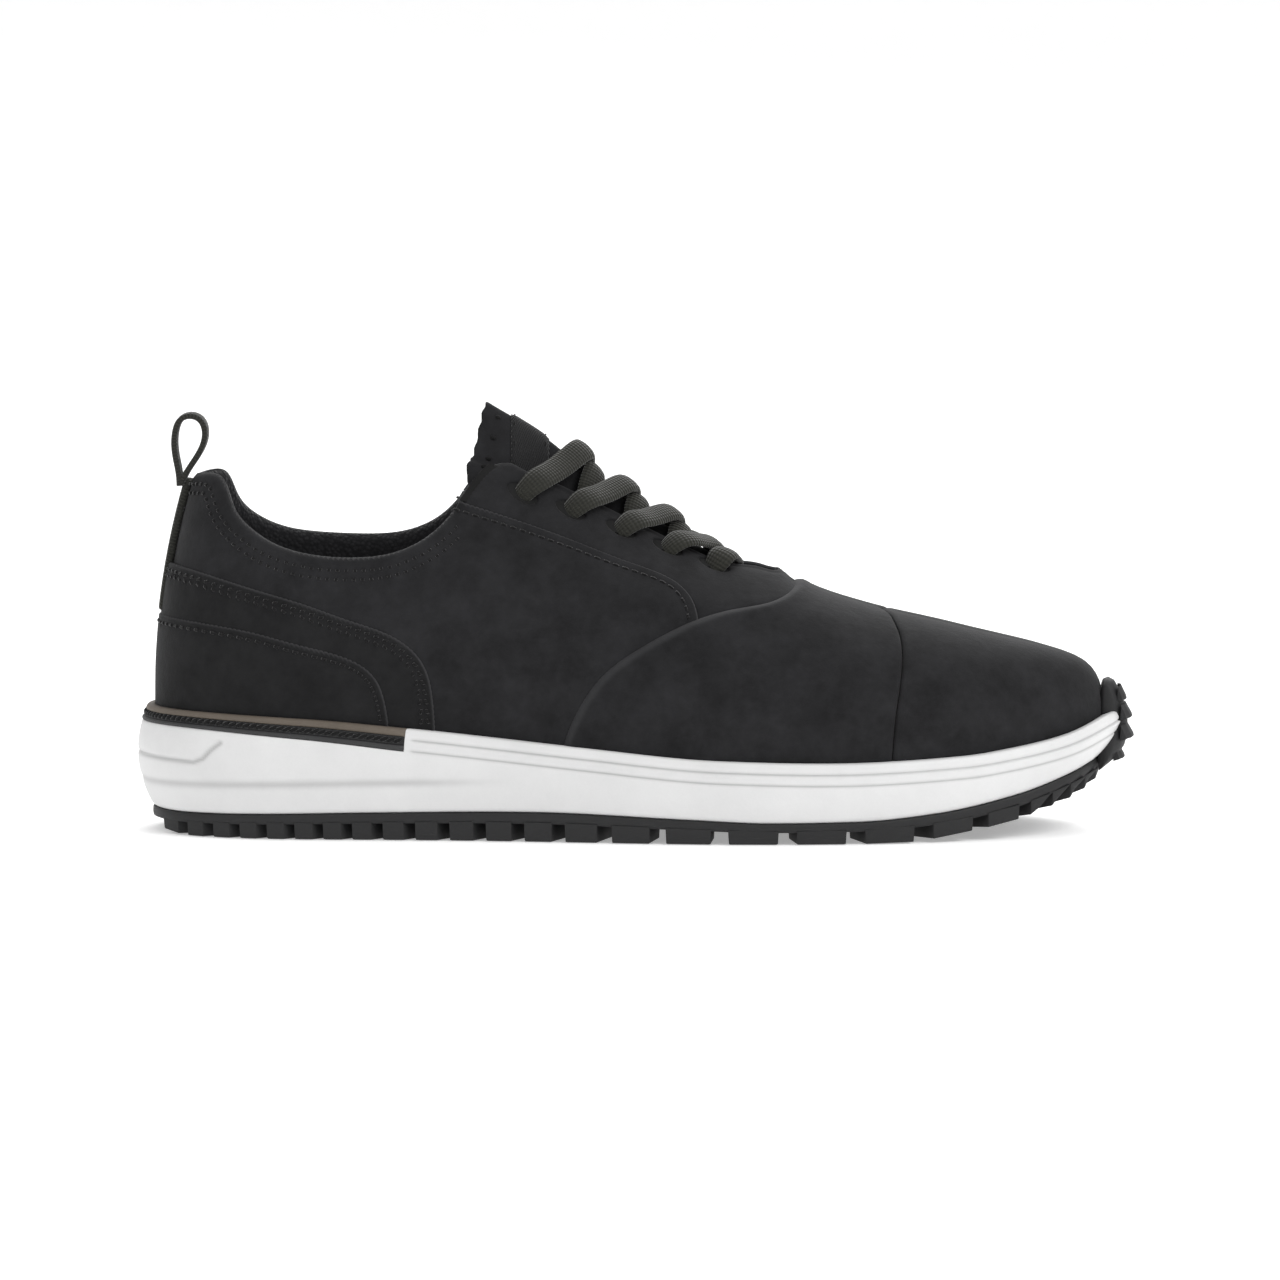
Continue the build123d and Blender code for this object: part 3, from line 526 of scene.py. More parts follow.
def panel(name, edges, material, nodes=(), out=0.0, thick=1.1, holes=(), pulls=(), step=2.6,
          body="shoe", slot="leather", wave=0.0):
    """A closed sheet of leather laid on the last: edges are (kind, line) in order round it."""
    outer = np.vstack([line[:-1] for _, line in edges])
    kinds = [kind for kind, line in edges for _ in line[:-1]]
    flat_loop = pattern(outer[:, 0], outer[:, 1])
    if double_area(flat_loop) < 0:
        outer, kinds, flat_loop = outer[::-1], kinds[::-1], flat_loop[::-1]
    loops = [(outer, kinds)]
    flats = [flat_loop]
    for hole in holes:
        flat_hole = pattern(hole[:, 0], hole[:, 1])
        if double_area(flat_hole) > 0:
            hole, flat_hole = hole[::-1], flat_hole[::-1]
        loops.append((hole, ["hole"] * len(hole)))
        flats.append(flat_hole)
    edge_ah = np.vstack([loop for loop, _ in loops])
    edge_kinds = [k for _, ks in loops for k in ks]
    edge_xyz = base(edge_ah[:, 0], edge_ah[:, 1])
    edge_tree = tree(edge_xyz)
    most = {kind: max(rings) for kind, rings in EDGE_RINGS.items()}

    inner, want = [], []
    for loop, ks in loops:
        rows, reach = ring_points(loop, ks)
        inner.append(rows)
        want.append(reach)
    low, high = flat_loop.min(0), flat_loop.max(0)
    gx, gy = np.meshgrid(np.arange(low[0], high[0], step), np.arange(low[1], high[1], step * 0.866),
                         indexing="ij")
    gx = gx + (np.arange(gx.shape[1]) % 2)[None, :] * step / 2
    grid = np.column_stack((gx.ravel(), gy.ravel()))
    inner.append(grid)
    want.append(np.full(len(grid), -1.0))
    inner, want = np.vstack(inner), np.concatenate(want)
    keep = inside(flats, inner)
    inner, want = inner[keep], want[keep]
    a, h = unrolled(inner)
    away, which = nearest(edge_tree, base(a, h))
    limit = np.where(want > 0, want * 0.93, np.array([most[edge_kinds[i]] for i in which]) + 0.9)
    keep = away >= limit
    inner = inner[keep]

    verts = [Vector(p) for loop in flats for p in loop] + [Vector(p) for p in inner]
    rims, first = [], 0
    for loop in flats:
        n = len(loop)
        rims += [(first + i, first + (i + 1) % n) for i in range(n)]
        first += n
    made = delaunay_2d_cdt(verts, rims, [], 2, 1e-5, False)
    flat = np.array([tuple(v) for v in made[0]])
    triangles = np.array([tuple(f) for f in made[2]])
    triangles = triangles[inside(flats, flat[triangles].mean(axis=1))]
    a, h = unrolled(flat)
    spots, up = base(a, h), normals(a, h)

    # each kind of edge brings the sheet down to the last and thins it
    drop_by, share = np.zeros(len(a)), np.ones(len(a))
    # painted highlight along raised and turned edges and painted shade round holes, handed to the material as
    # the edge attribute
    painted_light, pulled = np.zeros(len(a)), np.zeros(len(a))
    rim_distance = np.full(len(a), FAR)
    for kind in (k for k in EDGE_ORDER if k in edge_kinds):
        mine = edge_xyz[[i for i, k in enumerate(edge_kinds) if k == kind]]
        d = nearest(tree(mine), spots)[0]
        d = np.where(d < 0.02, 0.0, d)
        rim_distance = np.minimum(rim_distance, d)
        if kind == "under":
            q = np.clip(d / SKIVE, 0, 1)
            q = q * q * (3 - 2 * q)
            drop_by = np.maximum(drop_by, thick * (1 - q))
            share = np.minimum(share, q)
        elif kind == "collar":
            drop_by = np.maximum(drop_by, COLLAR_ROLL * (1 - quarter_round(d / COLLAR_ROLL)))
            share = np.minimum(share, quarter_round(d / 0.9))
        else:
            q = quarter_round(d / ROLL[kind])
            drop_by = np.maximum(drop_by, thick * (1 - q))
            share = np.minimum(share, q)
        if kind == "turned":
            # painted highlight: a pale band along the turned edge's roll
            painted_light = np.maximum(painted_light, 0.45 * np.exp(-(((d - 1.3) / 1.6) ** 2)))
            height_gain = TURNED_CROWN * np.exp(-(((d - 3.2) / 2.4) ** 2))
            drop_by = drop_by - height_gain * quarter_round(d / ROLL[kind])
        if kind == "raised":
            # painted highlight: a pale line along the raised edge
            painted_light = np.maximum(painted_light, 0.8 * np.exp(-((d / 0.55) ** 2)))
            for at, depth in pulls:
                pulled = np.maximum(pulled, depth * np.exp(-(((d - at) / 0.55) ** 2)))
        if kind == "hole":
            # painted shade round the hole
            painted_light = painted_light - np.exp(-((d / 0.8) ** 2))
    height = out(spots) if callable(out) else np.full(len(a), float(out))
    if wave:
        swell = np.array([noise3(p, 26.0) + 0.5 * noise3(p, 11.0) for p in spots])
        height = height + wave * swell * np.clip(rim_distance / 8, 0, 1)
    top = height - drop_by - pulled
    under = top - thick * share
    is_rim = rim_distance < 1e-6
    n = len(a)
    top_xyz = spots + up * top[:, None]
    under_xyz = spots + up * under[:, None]
    index = np.where(is_rim, np.arange(n), -1)
    free = np.flatnonzero(~is_rim)
    index[free] = n + np.arange(len(free))
    faces = [tuple(t) for t in triangles] + [tuple(index[t][::-1]) for t in triangles]
    painted_light_all = np.concatenate((painted_light, np.zeros(len(free))))
    values = {"edge": painted_light_all}
    if slot == "webbing":
        values["run"] = np.concatenate((spots[:, 2], spots[free, 2]))
        values["across"] = np.concatenate((spots[:, 1], spots[free, 1]))
    return add_object(name, np.vstack((top_xyz, under_xyz[free])), faces, material, body, nodes, values)


def noise3(p, size):
    """Smooth noise at a point, with swells of about this size."""
    return noise.noise(Vector((p[0] / size, p[1] / size, p[2] / size)))


# ---------------------------------------------------------------- materials
class Look:
    """A material made of nodes, in object coordinates (metres)."""

    def __init__(self, name, **shader):
        self.material = bpy.data.materials.new(name)
        self.material.use_nodes = True
        self.tree = self.material.node_tree
        self.shader = self.tree.nodes["Principled BSDF"]
        for key, value in shader.items():
            self.shader.inputs[key.replace("_", " ")].default_value = value
        self.place = self.node("ShaderNodeTexCoord").outputs["Object"]
        self.last_bump = None

    def node(self, kind, **fields):
        made = self.tree.nodes.new(kind)
        for key, value in fields.items():
            setattr(made, key, value)
        return made

    def link(self, source, target):
        self.tree.links.new(source, target)

    def noise(self, scale, detail=3.0, rough=0.55, where=None):
        made = self.node("ShaderNodeTexNoise")
        made.inputs["Scale"].default_value = scale
        made.inputs["Detail"].default_value = detail
        made.inputs["Roughness"].default_value = rough
        self.link(where or self.place, made.inputs["Vector"])
        return made.outputs["Fac"]

    def cells(self, scale, feature="F1", where=None):
        made = self.node("ShaderNodeTexVoronoi", feature=feature)
        made.inputs["Scale"].default_value = scale
        self.link(where or self.place, made.inputs["Vector"])
        return made.outputs["Distance"]

    def math(self, operation, a, b=0.0, c=None):
        made = self.node("ShaderNodeMath", operation=operation)
        for socket, value in zip(made.inputs, (a, b, c)):
            if value is None:
                continue
            if isinstance(value, (int, float)):
                socket.default_value = value
            else:
                self.link(value, socket)
        return made.outputs[0]

    def remap(self, value, low, high, to_low=0.0, to_high=1.0):
        made = self.node("ShaderNodeMapRange")
        self.link(value, made.inputs["Value"])
        for key, number in zip(("From Min", "From Max", "To Min", "To Max"), (low, high, to_low, to_high)):
            made.inputs[key].default_value = number
        return made.outputs["Result"]

    def mix(self, amount, a, b):
        made = self.node("ShaderNodeMix", data_type="RGBA")
        for socket, value in zip([s for s in made.inputs if s.enabled], (amount, a, b)):
            if isinstance(value, tuple):
                socket.default_value = (*value, 1.0)
            elif isinstance(value, (int, float)):
                socket.default_value = value
            else:
                self.link(value, socket)
        return [s for s in made.outputs if s.enabled][0]

    def attribute(self, name):
        return self.node("ShaderNodeAttribute", attribute_name=name).outputs["Fac"]

    def colour(self, socket):
        self.link(socket, self.shader.inputs["Base Color"])

    def roughness(self, socket):
        self.link(socket, self.shader.inputs["Roughness"])

    def bump(self, height, distance, strength=1.0):
        made = self.node("ShaderNodeBump")
        made.inputs["Distance"].default_value = distance
        made.inputs["Strength"].default_value = strength
        self.link(height, made.inputs["Height"])
        if self.last_bump:
            self.link(self.last_bump, made.inputs["Normal"])
        self.last_bump = made.outputs["Normal"]
        self.link(self.last_bump, self.shader.inputs["Normal"])


def srgb(*levels):
    """Linear colour from display levels."""
    return tuple(((v / 255 + 0.055) / 1.055) ** 2.4 if v > 10 else v / 255 / 12.92 for v in levels)


def nubuck(name, dark, light):
    """Napped leather: soft random clouds of tone, a fine nap, a painted highlight along the edges and painted
    shade round holes.
    """
    look = Look(name, Roughness=0.9, Sheen_Weight=0.06, Sheen_Roughness=0.45, Specular_IOR_Level=0.2)
    clouds = look.remap(look.noise(75, 4, 0.6), 0.32, 0.7)
    streaks = look.remap(look.noise(330, 3, 0.6), 0.3, 0.72)
    nap = look.remap(look.noise(2600, 2, 0.7), 0.3, 0.7)
    shade = look.math("ADD", look.math("MULTIPLY", clouds, 0.5), look.math("MULTIPLY", streaks, 0.22))
    shade = look.math("ADD", shade, look.math("MULTIPLY", nap, 0.28))
    toned = look.mix(shade, dark, light)
    # painted highlight: paler where the edge attribute is above zero
    highlighted = look.mix(look.remap(look.attribute("edge"), 0.1, 1.0, 0.0, 0.55), toned, srgb(88, 88, 90))
    # painted shade: near black where the edge attribute is below zero, round holes
    deep = look.mix(look.remap(look.attribute("edge"), 0.0, -1.0, 0.0, 0.75), highlighted, srgb(10, 10, 11))
    look.colour(deep)
    look.roughness(look.remap(nap, 0.0, 1.0, 0.82, 0.97))
    look.bump(look.noise(420, 3, 0.6), 0.0004, 0.35)
    look.bump(look.noise(2600, 2, 0.7), 0.00012, 0.6)
    return look.material


def woven(name, dark, light, pitch, ribs=False):
    """A woven strap: diagonal over-and-under threads along the piece's own length and width."""
    look = Look(name, Roughness=0.85, Sheen_Weight=0.25, Sheen_Roughness=0.4, Specular_IOR_Level=0.3)
    run, across = look.attribute("run"), look.attribute("across")
    k = math.pi / pitch
    if ribs:
        one = look.math("SINE", look.math("MULTIPLY", run, k * 2))
        two = look.math("SINE", look.math("MULTIPLY", across, k * 2))
        weave = look.math("MULTIPLY", one, two)
    else:
        plus = look.math("SINE", look.math("MULTIPLY", look.math("ADD", run, across), k))
        less = look.math("SINE", look.math("MULTIPLY", look.math("SUBTRACT", run, across), k))
        weave = look.math("MULTIPLY", plus, less)
    weave = look.remap(weave, -1.0, 1.0)
    fuzz = look.noise(3200, 2, 0.7)
    shade = look.math("MULTIPLY", weave, look.remap(fuzz, 0.25, 0.75, 0.55, 1.0))
    clouds = look.math("MULTIPLY", look.noise(160, 2), 0.25)
    shade = look.math("ADD", look.math("MULTIPLY", shade, 0.75), clouds)
    look.colour(look.mix(shade, dark, light))
    look.bump(weave, 0.00035, 0.8)
    look.bump(fuzz, 0.0001, 0.5)
    return look.material


def textile(name, dark, light, scale=900):
    """Knitted lining cloth."""
    look = Look(name, Roughness=0.95, Sheen_Weight=0.2, Sheen_Roughness=0.5, Specular_IOR_Level=0.2)
    knit = look.cells(scale)
    shade = look.math("ADD", look.math("MULTIPLY", look.remap(knit, 0.1, 0.7), 0.6),
                      look.math("MULTIPLY", look.noise(90, 3), 0.4))
    look.colour(look.mix(shade, light, dark))
    look.bump(look.remap(knit, 0.0, 0.7, 1.0, 0.0), 0.0004, 0.8)
    look.bump(look.noise(3000, 2), 0.0001, 0.5)
    return look.material


def rubber(name, dark, light, rough, fine=1500):
    """Moulded rubber or foam: faint clouds, fine matt grain, and painted shade where the edge attribute is
    below zero.
    """
    look = Look(name, Roughness=rough, Specular_IOR_Level=0.4)
    clouds = look.remap(look.noise(60, 4, 0.6), 0.3, 0.7)
    grain = look.noise(fine, 2, 0.6)
    shade = look.math("ADD", look.math("MULTIPLY", clouds, 0.6), look.math("MULTIPLY", grain, 0.4))
    toned = look.mix(shade, dark, light)
    # painted shade: a darker copy of the dark tone, mixed in where the edge attribute is below zero (the
    # midsole's grooves)
    shaded = tuple(v * 0.45 for v in dark)
    deep = look.mix(look.remap(look.attribute("edge"), 0.0, -1.0, 0.0, 0.8), toned, shaded)
    look.colour(deep)
    look.roughness(look.remap(clouds, 0.0, 1.0, rough - 0.07, rough + 0.08))
    look.bump(grain, 0.00006, 0.5)
    look.bump(look.noise(240, 3), 0.0002, 0.25)
    return look.material


black_leather = nubuck("nubuck", srgb(16, 16, 17), srgb(41, 41, 43))
# a darker copy of the same nubuck for the heel overlays: painted shade at the heel, which stands darker in
# the light
heel_shade_leather = nubuck("nubuck_heel_shade", srgb(14, 14, 15), srgb(35, 35, 36))
# black thread, made darker than the leather as painted shade of the sunk stitches
thread = woven("thread", srgb(3, 3, 4), srgb(13, 13, 14), 0.5)
lace_cloth = woven("lace_cloth", srgb(24, 24, 20), srgb(50, 50, 44), 1.0)
webbing = woven("webbing", srgb(26, 26, 23), srgb(54, 54, 49), 1.0, ribs=True)
lining_cloth = textile("lining_cloth", srgb(18, 18, 20), srgb(44, 44, 46))
insole_cloth = textile("insole_cloth", srgb(22, 22, 24), srgb(52, 52, 54), 1200)
white_foam = rubber("white_foam", srgb(208, 208, 208), srgb(219, 219, 219), 0.5)
sole_rubber = rubber("sole_rubber", srgb(20, 20, 21), srgb(34, 34, 35), 0.62)
taupe_strip = rubber("taupe_strip", srgb(84, 76, 67), srgb(104, 95, 85), 0.6)
black_welt = rubber("black_welt", srgb(16, 16, 17), srgb(30, 30, 31), 0.6)
grey_lip = rubber("grey_lip", srgb(40, 40, 41), srgb(58, 58, 59), 0.6)
aglet_plastic = rubber("aglet_plastic", srgb(20, 20, 22), srgb(34, 34, 36), 0.25)
label_cloth = woven("label_cloth", srgb(20, 20, 21), srgb(36, 36, 37), 0.7, ribs=True)


# ---------------------------------------------------------------- upper panels
def quarter_rise(spots):
    """Height of the quarters over the last: they dip at the back seam, under the webbing."""
    x, y, _ = spots.T
    return -0.2 - 0.9 * np.exp(-((y / 13) ** 2)) * (x < -110)


def front_rise(spots):
    """Height of the vamp over the last: fullest where it laps over the quarters."""
    return 0.15 + 0.5 * np.clip((60 - spots[:, 0]) / 40, 0, 1)


def cap_rise(spots):
    """Height of the toe cap over the last: it thins towards the toe guard."""
    return 0.15 - 1.1 * np.clip((spots[:, 0] - 92) / 32, 0, 1)


# distance from the edge and depth of the furrows which stitches pull
PULLS = ((2.3, 0.32),)
DOUBLE_PULLS = ((2.2, 0.3), (4.6, 0.3))

cap_up = {side: to_ridge(side, cap_xz) for side in (LATERAL, MEDIAL)}
vamp_up = {side: to_ridge(side, vamp_xz) for side in (LATERAL, MEDIAL)}


def place_on(xz, other):
    """The place along one seam line where it first crosses another."""
    return crossing(xz, other)[0]


collar_start = place_on(collar_xz, heel_xz)
collar_stay = place_on(collar_xz, stay_xz)
stay_collar = place_on(stay_xz, collar_xz)
stay_vamp = place_on(stay_xz, under_vamp_xz)
vamp_stay = place_on(under_vamp_xz, stay_xz)
under_vamp_foot = place_on(under_vamp_xz, bottom_xz)
under_stay_start = place_on(under_stay_xz, collar_xz)
collar_under_stay = place_on(collar_xz, under_stay_xz)
under_stay_vamp = place_on(under_stay_xz, under_vamp_xz)
vamp_under_stay = place_on(under_vamp_xz, under_stay_xz)
under_vamp_ridge = place_on(under_vamp_xz, ridge_xz)

panel(
    "toe_cap_leather",
    [
        ("seam", cap_up[LATERAL]),
        ("seam", cap_up[MEDIAL][::-1]),
        ("bottom", bottom_line(cap_up[MEDIAL][0, 0], cap_up[LATERAL][0, 0])),
    ],
    black_leather, ["toe_cap"], out=cap_rise, wave=0.12,
)

panel(
    "vamp_leather",
    [
        ("turned", vamp_up[LATERAL]),
        ("turned", vamp_up[MEDIAL][::-1]),
        ("bottom", bottom_line(vamp_up[MEDIAL][0, 0], cap_up[MEDIAL][0, 0])),
        ("seam", cap_up[MEDIAL]),
        ("seam", cap_up[LATERAL][::-1]),
        ("bottom", bottom_line(cap_up[LATERAL][0, 0], vamp_up[LATERAL][0, 0])),
    ],
    black_leather, ["vamp"], out=front_rise, thick=1.6, wave=0.16,
)


def heel_line(side, low_h, high_h):
    """A line up the middle of the heel."""
    h = np.linspace(low_h, high_h, int(60 / SEAM_STEP))
    return np.column_stack((np.full(len(h), 0.0 if side == LATERAL else AROUND), h))


collar_lines, stay_lines = {}, {}
for name, side in SIDES.items():
    collar = collar_on(side, collar_start + 0.01, collar_stay)
    collar[0, 0] = 0.0 if side == LATERAL else AROUND
    stay = on_side(side, stretch(stay_xz, stay_collar, stay_vamp))
    front = on_side(side, stretch(under_vamp_xz, vamp_stay, under_vamp_foot))
    foot_start = bottom_line(front[-1, 0], collar[0, 0])
    heel = heel_line(side, foot_start[-1, 1], collar[0, 1])
    collar_lines[side], stay_lines[side] = collar, stay
    stay[0], front[0], foot_start[0], heel[-1] = collar[-1], stay[-1], front[-1], collar[0]
    panel(
        f"quarter_{name}_leather",
        [("collar", collar), ("raised", stay), ("under", front), ("bottom", foot_start), ("seam", heel)],
        black_leather, [f"quarter_{name}"], out=quarter_rise, pulls=((3.0, 0.3),), wave=0.15,
    )


# one piece of leather carries the eyelets: up one side of the throat, round its end and down the other
def surface_at(x, y):
    """The (a, h) of the last's points over plan positions."""
    spots = base(grid_a, grid_h)
    x, y = np.atleast_1d(x).astype(float), np.atleast_1d(y).astype(float)
    a, h = np.empty(len(x)), np.empty(len(x))
    upper = grid_h > 0.35
    for i in range(len(x)):
        best = np.argmin((spots[:, 0] - x[i]) ** 2 + (spots[:, 1] - y[i]) ** 2 + 1e6 * ~upper)
        a[i], h[i] = grid_a[best], grid_h[best]
    for _ in range(14):
        ja, jh = slopes(a, h)
        here = base(a, h)
        da, dh = solved(ja[:, :2], jh[:, :2], np.column_stack((x, y)) - here[:, :2])
        a, h = a + np.clip(da, -2, 2), np.clip(h + np.clip(dh, -0.05, 0.05), 0.3, 1.0)
    return np.column_stack((a, h))


def joined(first, second, keep_off):
    """Two lines which meet in a corner, with the corner rounded off."""
    reach1 = lengths(base(first[:, 0], first[:, 1]))
    reach2 = lengths(base(second[:, 0], second[:, 1]))
    cut1 = np.interp(reach1[-1] - keep_off, reach1, np.arange(len(first)))
    cut2 = np.interp(keep_off, reach2, np.arange(len(second)))
    one, two = stretch(first, 0, cut1), stretch(second, cut2, len(second) - 1)
    corner = first[-1]
    t = np.linspace(0, 1, 7)[:, None]
    bend = one[-1] * (1 - t) ** 2 + corner * 2 * t * (1 - t) + two[0] * t * t
    return one, bend, two


THROAT_FRONT = 40.0
THROAT_BEND = THROAT_END_X - THROAT_FRONT
throat_x = np.concatenate((np.linspace(-29.0, THROAT_FRONT, 50)[:-1],
                           THROAT_FRONT + THROAT_BEND * np.sin(np.linspace(0, np.pi / 2, 7))))
throat_end = np.clip((throat_x - THROAT_FRONT) / THROAT_BEND, 0, 1)
throat_y = throat_width(np.minimum(throat_x, THROAT_FRONT)) * np.sqrt(1 - throat_end**2)
eyelet_x = [-33, -18.6, -3.6, 10.4, 24.4]
EYELET_Y = {LATERAL: [-19, -17.6, -16.2, -14.8, -13.4], MEDIAL: [17.6, 16.8, 15.6, 14.4, 13]}
EYELET_RADII = (4.6, 2.5)  # along and across the throat


def eyelet(side, k):
    """The edge of a punched eyelet."""
    centre = surface_at(eyelet_x[k], EYELET_Y[side][k])
    ja, jh = slopes(centre[:, 0], centre[:, 1])
    ahead = unit(ja[0])
    up = unit(jh[0] - ahead * np.dot(jh[0], ahead))
    t = np.linspace(0, 2 * np.pi, 18, endpoint=False)
    moves = ahead * (EYELET_RADII[0] * np.cos(t))[:, None] + up * (EYELET_RADII[1] * np.sin(t))[:, None]
    many = np.repeat(centre, len(t), axis=0)
    da, dh = stepped(many, moves)
    return many + np.column_stack((da, dh))


stay_edges, throat_lines, corner_lines = [], {}, {}
for side in (LATERAL, MEDIAL):
    low = on_side(side, stretch(under_stay_xz, under_stay_vamp, under_stay_start))
    top = collar_on(side, collar_under_stay, len(collar_xz) - 1)
    slot_edge = surface_at(throat_x, side * throat_y)
    slot_edge = evened(slot_edge, 1.3)
    top[-1] = slot_edge[0]
    top, bend, slot_edge = joined(top, slot_edge, 5.0)
    nose = on_side(side, stretch(under_vamp_xz, under_vamp_ridge, vamp_under_stay))
    nose[0, 1] = 1.0
    low[0], top[0] = nose[-1], low[-1]
    throat_lines[side], corner_lines[side] = slot_edge, (top, bend)
    run = [("under", nose), ("under", low), ("collar", top), ("collar", bend), ("raised", slot_edge)]
    stay_edges.append(run)
medial_back = [(kind, line[::-1]) for kind, line in stay_edges[1][::-1]]


def stay_rise(spots):
    """Height of the eyestay over the last: it puckers up round the front of the throat."""
    x, y, _ = spots.T
    pucker = fade(x, 25, 38) * (1 - fade(x, 43, 50)) * np.exp(-((y / 15) ** 2))
    return -0.8 + 2.6 * pucker


holes = [eyelet(side, k) for side in (LATERAL, MEDIAL) for k in range(5)]
panel(
    "eyestay_leather", stay_edges[0] + medial_back, black_leather,
    ["eyestay_lateral", "eyestay_medial"], out=stay_rise, holes=holes, pulls=((2.3, 0.25),), step=2.0,
)

# heel overlays, each one piece round the back of the heel
def round_heel(xz):
    """A top edge from the foot on one side, round the heel, to the foot on the other."""
    start = crossing(xz, bottom_xz)[0]
    heel_end = crossing(xz, heel_xz)[0]
    lateral = on_side(LATERAL, stretch(xz, start, heel_end))
    medial = wrapped(on_side(MEDIAL, stretch(xz, heel_end, start)))
    lateral[-1, 0] = medial[0, 0] = 0.0
    middle = (lateral[-1, 1] + medial[0, 1]) / 2
    lateral[-1, 1] = medial[0, 1] = middle
    return np.vstack((lateral[:-1], medial))


foxing_lines = {}
for name, xz, out, furrows in (
    ("upper", upper_foxing_xz, 0.5, DOUBLE_PULLS),
    ("lower", lower_foxing_xz, 1.1, PULLS),
):
    top = round_heel(xz)
    foxing_lines[name] = top
    low = bottom_line(top[-1, 0], top[0, 0])
    low[0], low[-1] = top[-1], top[0]
    panel(f"heel_foxing_{name}_leather", [("raised", top), ("bottom", low)], heel_shade_leather,
          [f"heel_foxing_{name}"], out=out, thick=1.0, pulls=furrows, wave=0.12)

PULL_HALF = 5.6
strip_h = share_at(np.zeros(2), np.array([65.6, 105.2]))
STRIP_COLUMNS, STRIP_ROWS = 8, 26
strip_a = np.linspace(-PULL_HALF, PULL_HALF, STRIP_COLUMNS)
strip_rise = np.linspace(strip_h[0], strip_h[1], STRIP_ROWS)
panel(
    "heel_pull_strip_webbing",
    [
        ("raised", np.column_stack((strip_a, np.full(STRIP_COLUMNS, strip_h[0])))),
        ("raised", np.column_stack((np.full(STRIP_ROWS, PULL_HALF), strip_rise))),
        ("raised", np.column_stack((strip_a[::-1], np.full(STRIP_COLUMNS, strip_h[1])))),
        ("raised", np.column_stack((np.full(STRIP_ROWS, -PULL_HALF), strip_rise[::-1]))),
    ],
    webbing, ["heel_pull_strip"], out=1.4, thick=2.2, slot="webbing", step=1.6,
)


# ---------------------------------------------------------------- stitches
CAPSULE_SIDES = 6
CAPSULE_RINGS = ((-1.0, 0.0), (-0.93, 0.6), (-0.72, 0.95), (0.0, 1.0), (0.72, 0.95), (0.93, 0.6), (1.0, 0.0))


def capsules(places, lengthwise, upward, half, radius, lean=0.0):
    """Rounded threads at places, each half long each way, with their ends sunk into the leather."""
    verts, faces = [], []
    sides = CAPSULE_SIDES
    for p, t, n in zip(places, lengthwise, upward):
        across = np.cross(n, t)
        across /= np.linalg.norm(across) + 1e-12
        t = t + across * lean
        t = t / np.linalg.norm(t)
        first = len(verts)
        for along_by, wide in CAPSULE_RINGS:
            centre = p + t * half * along_by + n * radius * (0.45 - 0.9 * along_by * along_by)
            for k in range(sides):
                turn_by = 2 * math.pi * k / sides
                r = radius * max(wide, 0.08)
                verts.append(centre + across * r * 1.25 * math.cos(turn_by) + n * r * math.sin(turn_by))
        for ring in range(len(CAPSULE_RINGS) - 1):
            for k in range(sides):
                i, j = first + ring * sides + k, first + ring * sides + (k + 1) % sides
                faces.append((i, j, j + sides, i + sides))
        faces.append(tuple(first + k for k in reversed(range(sides))))
        last = first + (len(CAPSULE_RINGS) - 1) * sides
        faces.append(tuple(last + k for k in range(sides)))
    return verts, faces


def inset_line(line, away, turned, step):
    """A line moved sideways over the last: turned is 1 to its left as seen from outside, else -1."""
    spots = base(line[:, 0], line[:, 1])
    tangent = np.gradient(spots, axis=0)
    tangent /= np.linalg.norm(tangent, axis=1, keepdims=True) + 1e-12
    side = np.cross(normals(line[:, 0], line[:, 1]), tangent) * turned
    da, dh = stepped(line, side * away)
    moved = np.column_stack((line[:, 0] + da, np.clip(line[:, 1] + dh, 0, 1)))
    return evened(moved, step)


def stitches(name, line, away, turned, out, pitch=3.0, half=1.15, radius=0.34, trim=(0, 0), lean=0.0):
    """A row of stitches beside a seam line."""
    row = inset_line(line, away, turned, pitch)
    spots = base(row[:, 0], row[:, 1])
    up = normals(row[:, 0], row[:, 1])
    tangent = directions(spots)
    height = out(spots) if callable(out) else out
    spots = spots + up * np.reshape(height, (-1, 1) if np.ndim(height) else (1, 1))
    chosen = slice(trim[0], len(row) - trim[1])
    verts, faces = capsules(spots[chosen], tangent[chosen], up[chosen], half, radius, lean)
    rings, count = len(CAPSULE_RINGS), len(spots[chosen])
    values = {"run": np.tile(np.linspace(0, 2, rings).repeat(CAPSULE_SIDES), count),
              "across": np.tile(np.arange(CAPSULE_SIDES) * 0.3, count * rings)}
    return add_object(name, verts, faces, thread, values=values)


for name, side in SIDES.items():
    stitches(f"stay_stitches_{name}", stay_lines[side][:-4], 3.0, side, -0.44)
    for row, away, trim in (("upper", 4.3, (2, 3)), ("lower", 7.0, (3, 4))):
        stitches(f"collar_stitches_{name}_{row}", collar_lines[side], away, side, -0.42, 2.6, 0.7, 0.42, trim)
stitches("foxing_upper_stitches", foxing_lines["upper"][4:-4], 2.1, 1, 0.26, 2.9, 0.95, 0.42, lean=0.35)
stitches("foxing_upper_stitches_low", foxing_lines["upper"][4:-4], 3.9, 1, 0.26, 2.9, 0.95, 0.42, lean=-0.35)
stitches("foxing_lower_stitches", foxing_lines["lower"][4:-4], 2.4, 1, 0.86, 2.9, 1.05, 0.42)


# ---------------------------------------------------------------- sweeps and grids
def grid_faces(rows, cols, close_cols=False, first=0):
    """Quads over a grid of vertices, joined round its columns if they close."""
    faces = []
    for i in range(rows - 1):
        for j in range(cols if close_cols else cols - 1):
            here, there, j2 = first + i * cols, first + (i + 1) * cols, (j + 1) % cols
            faces.append((here + j, here + j2, there + j2, there + j))
    return faces


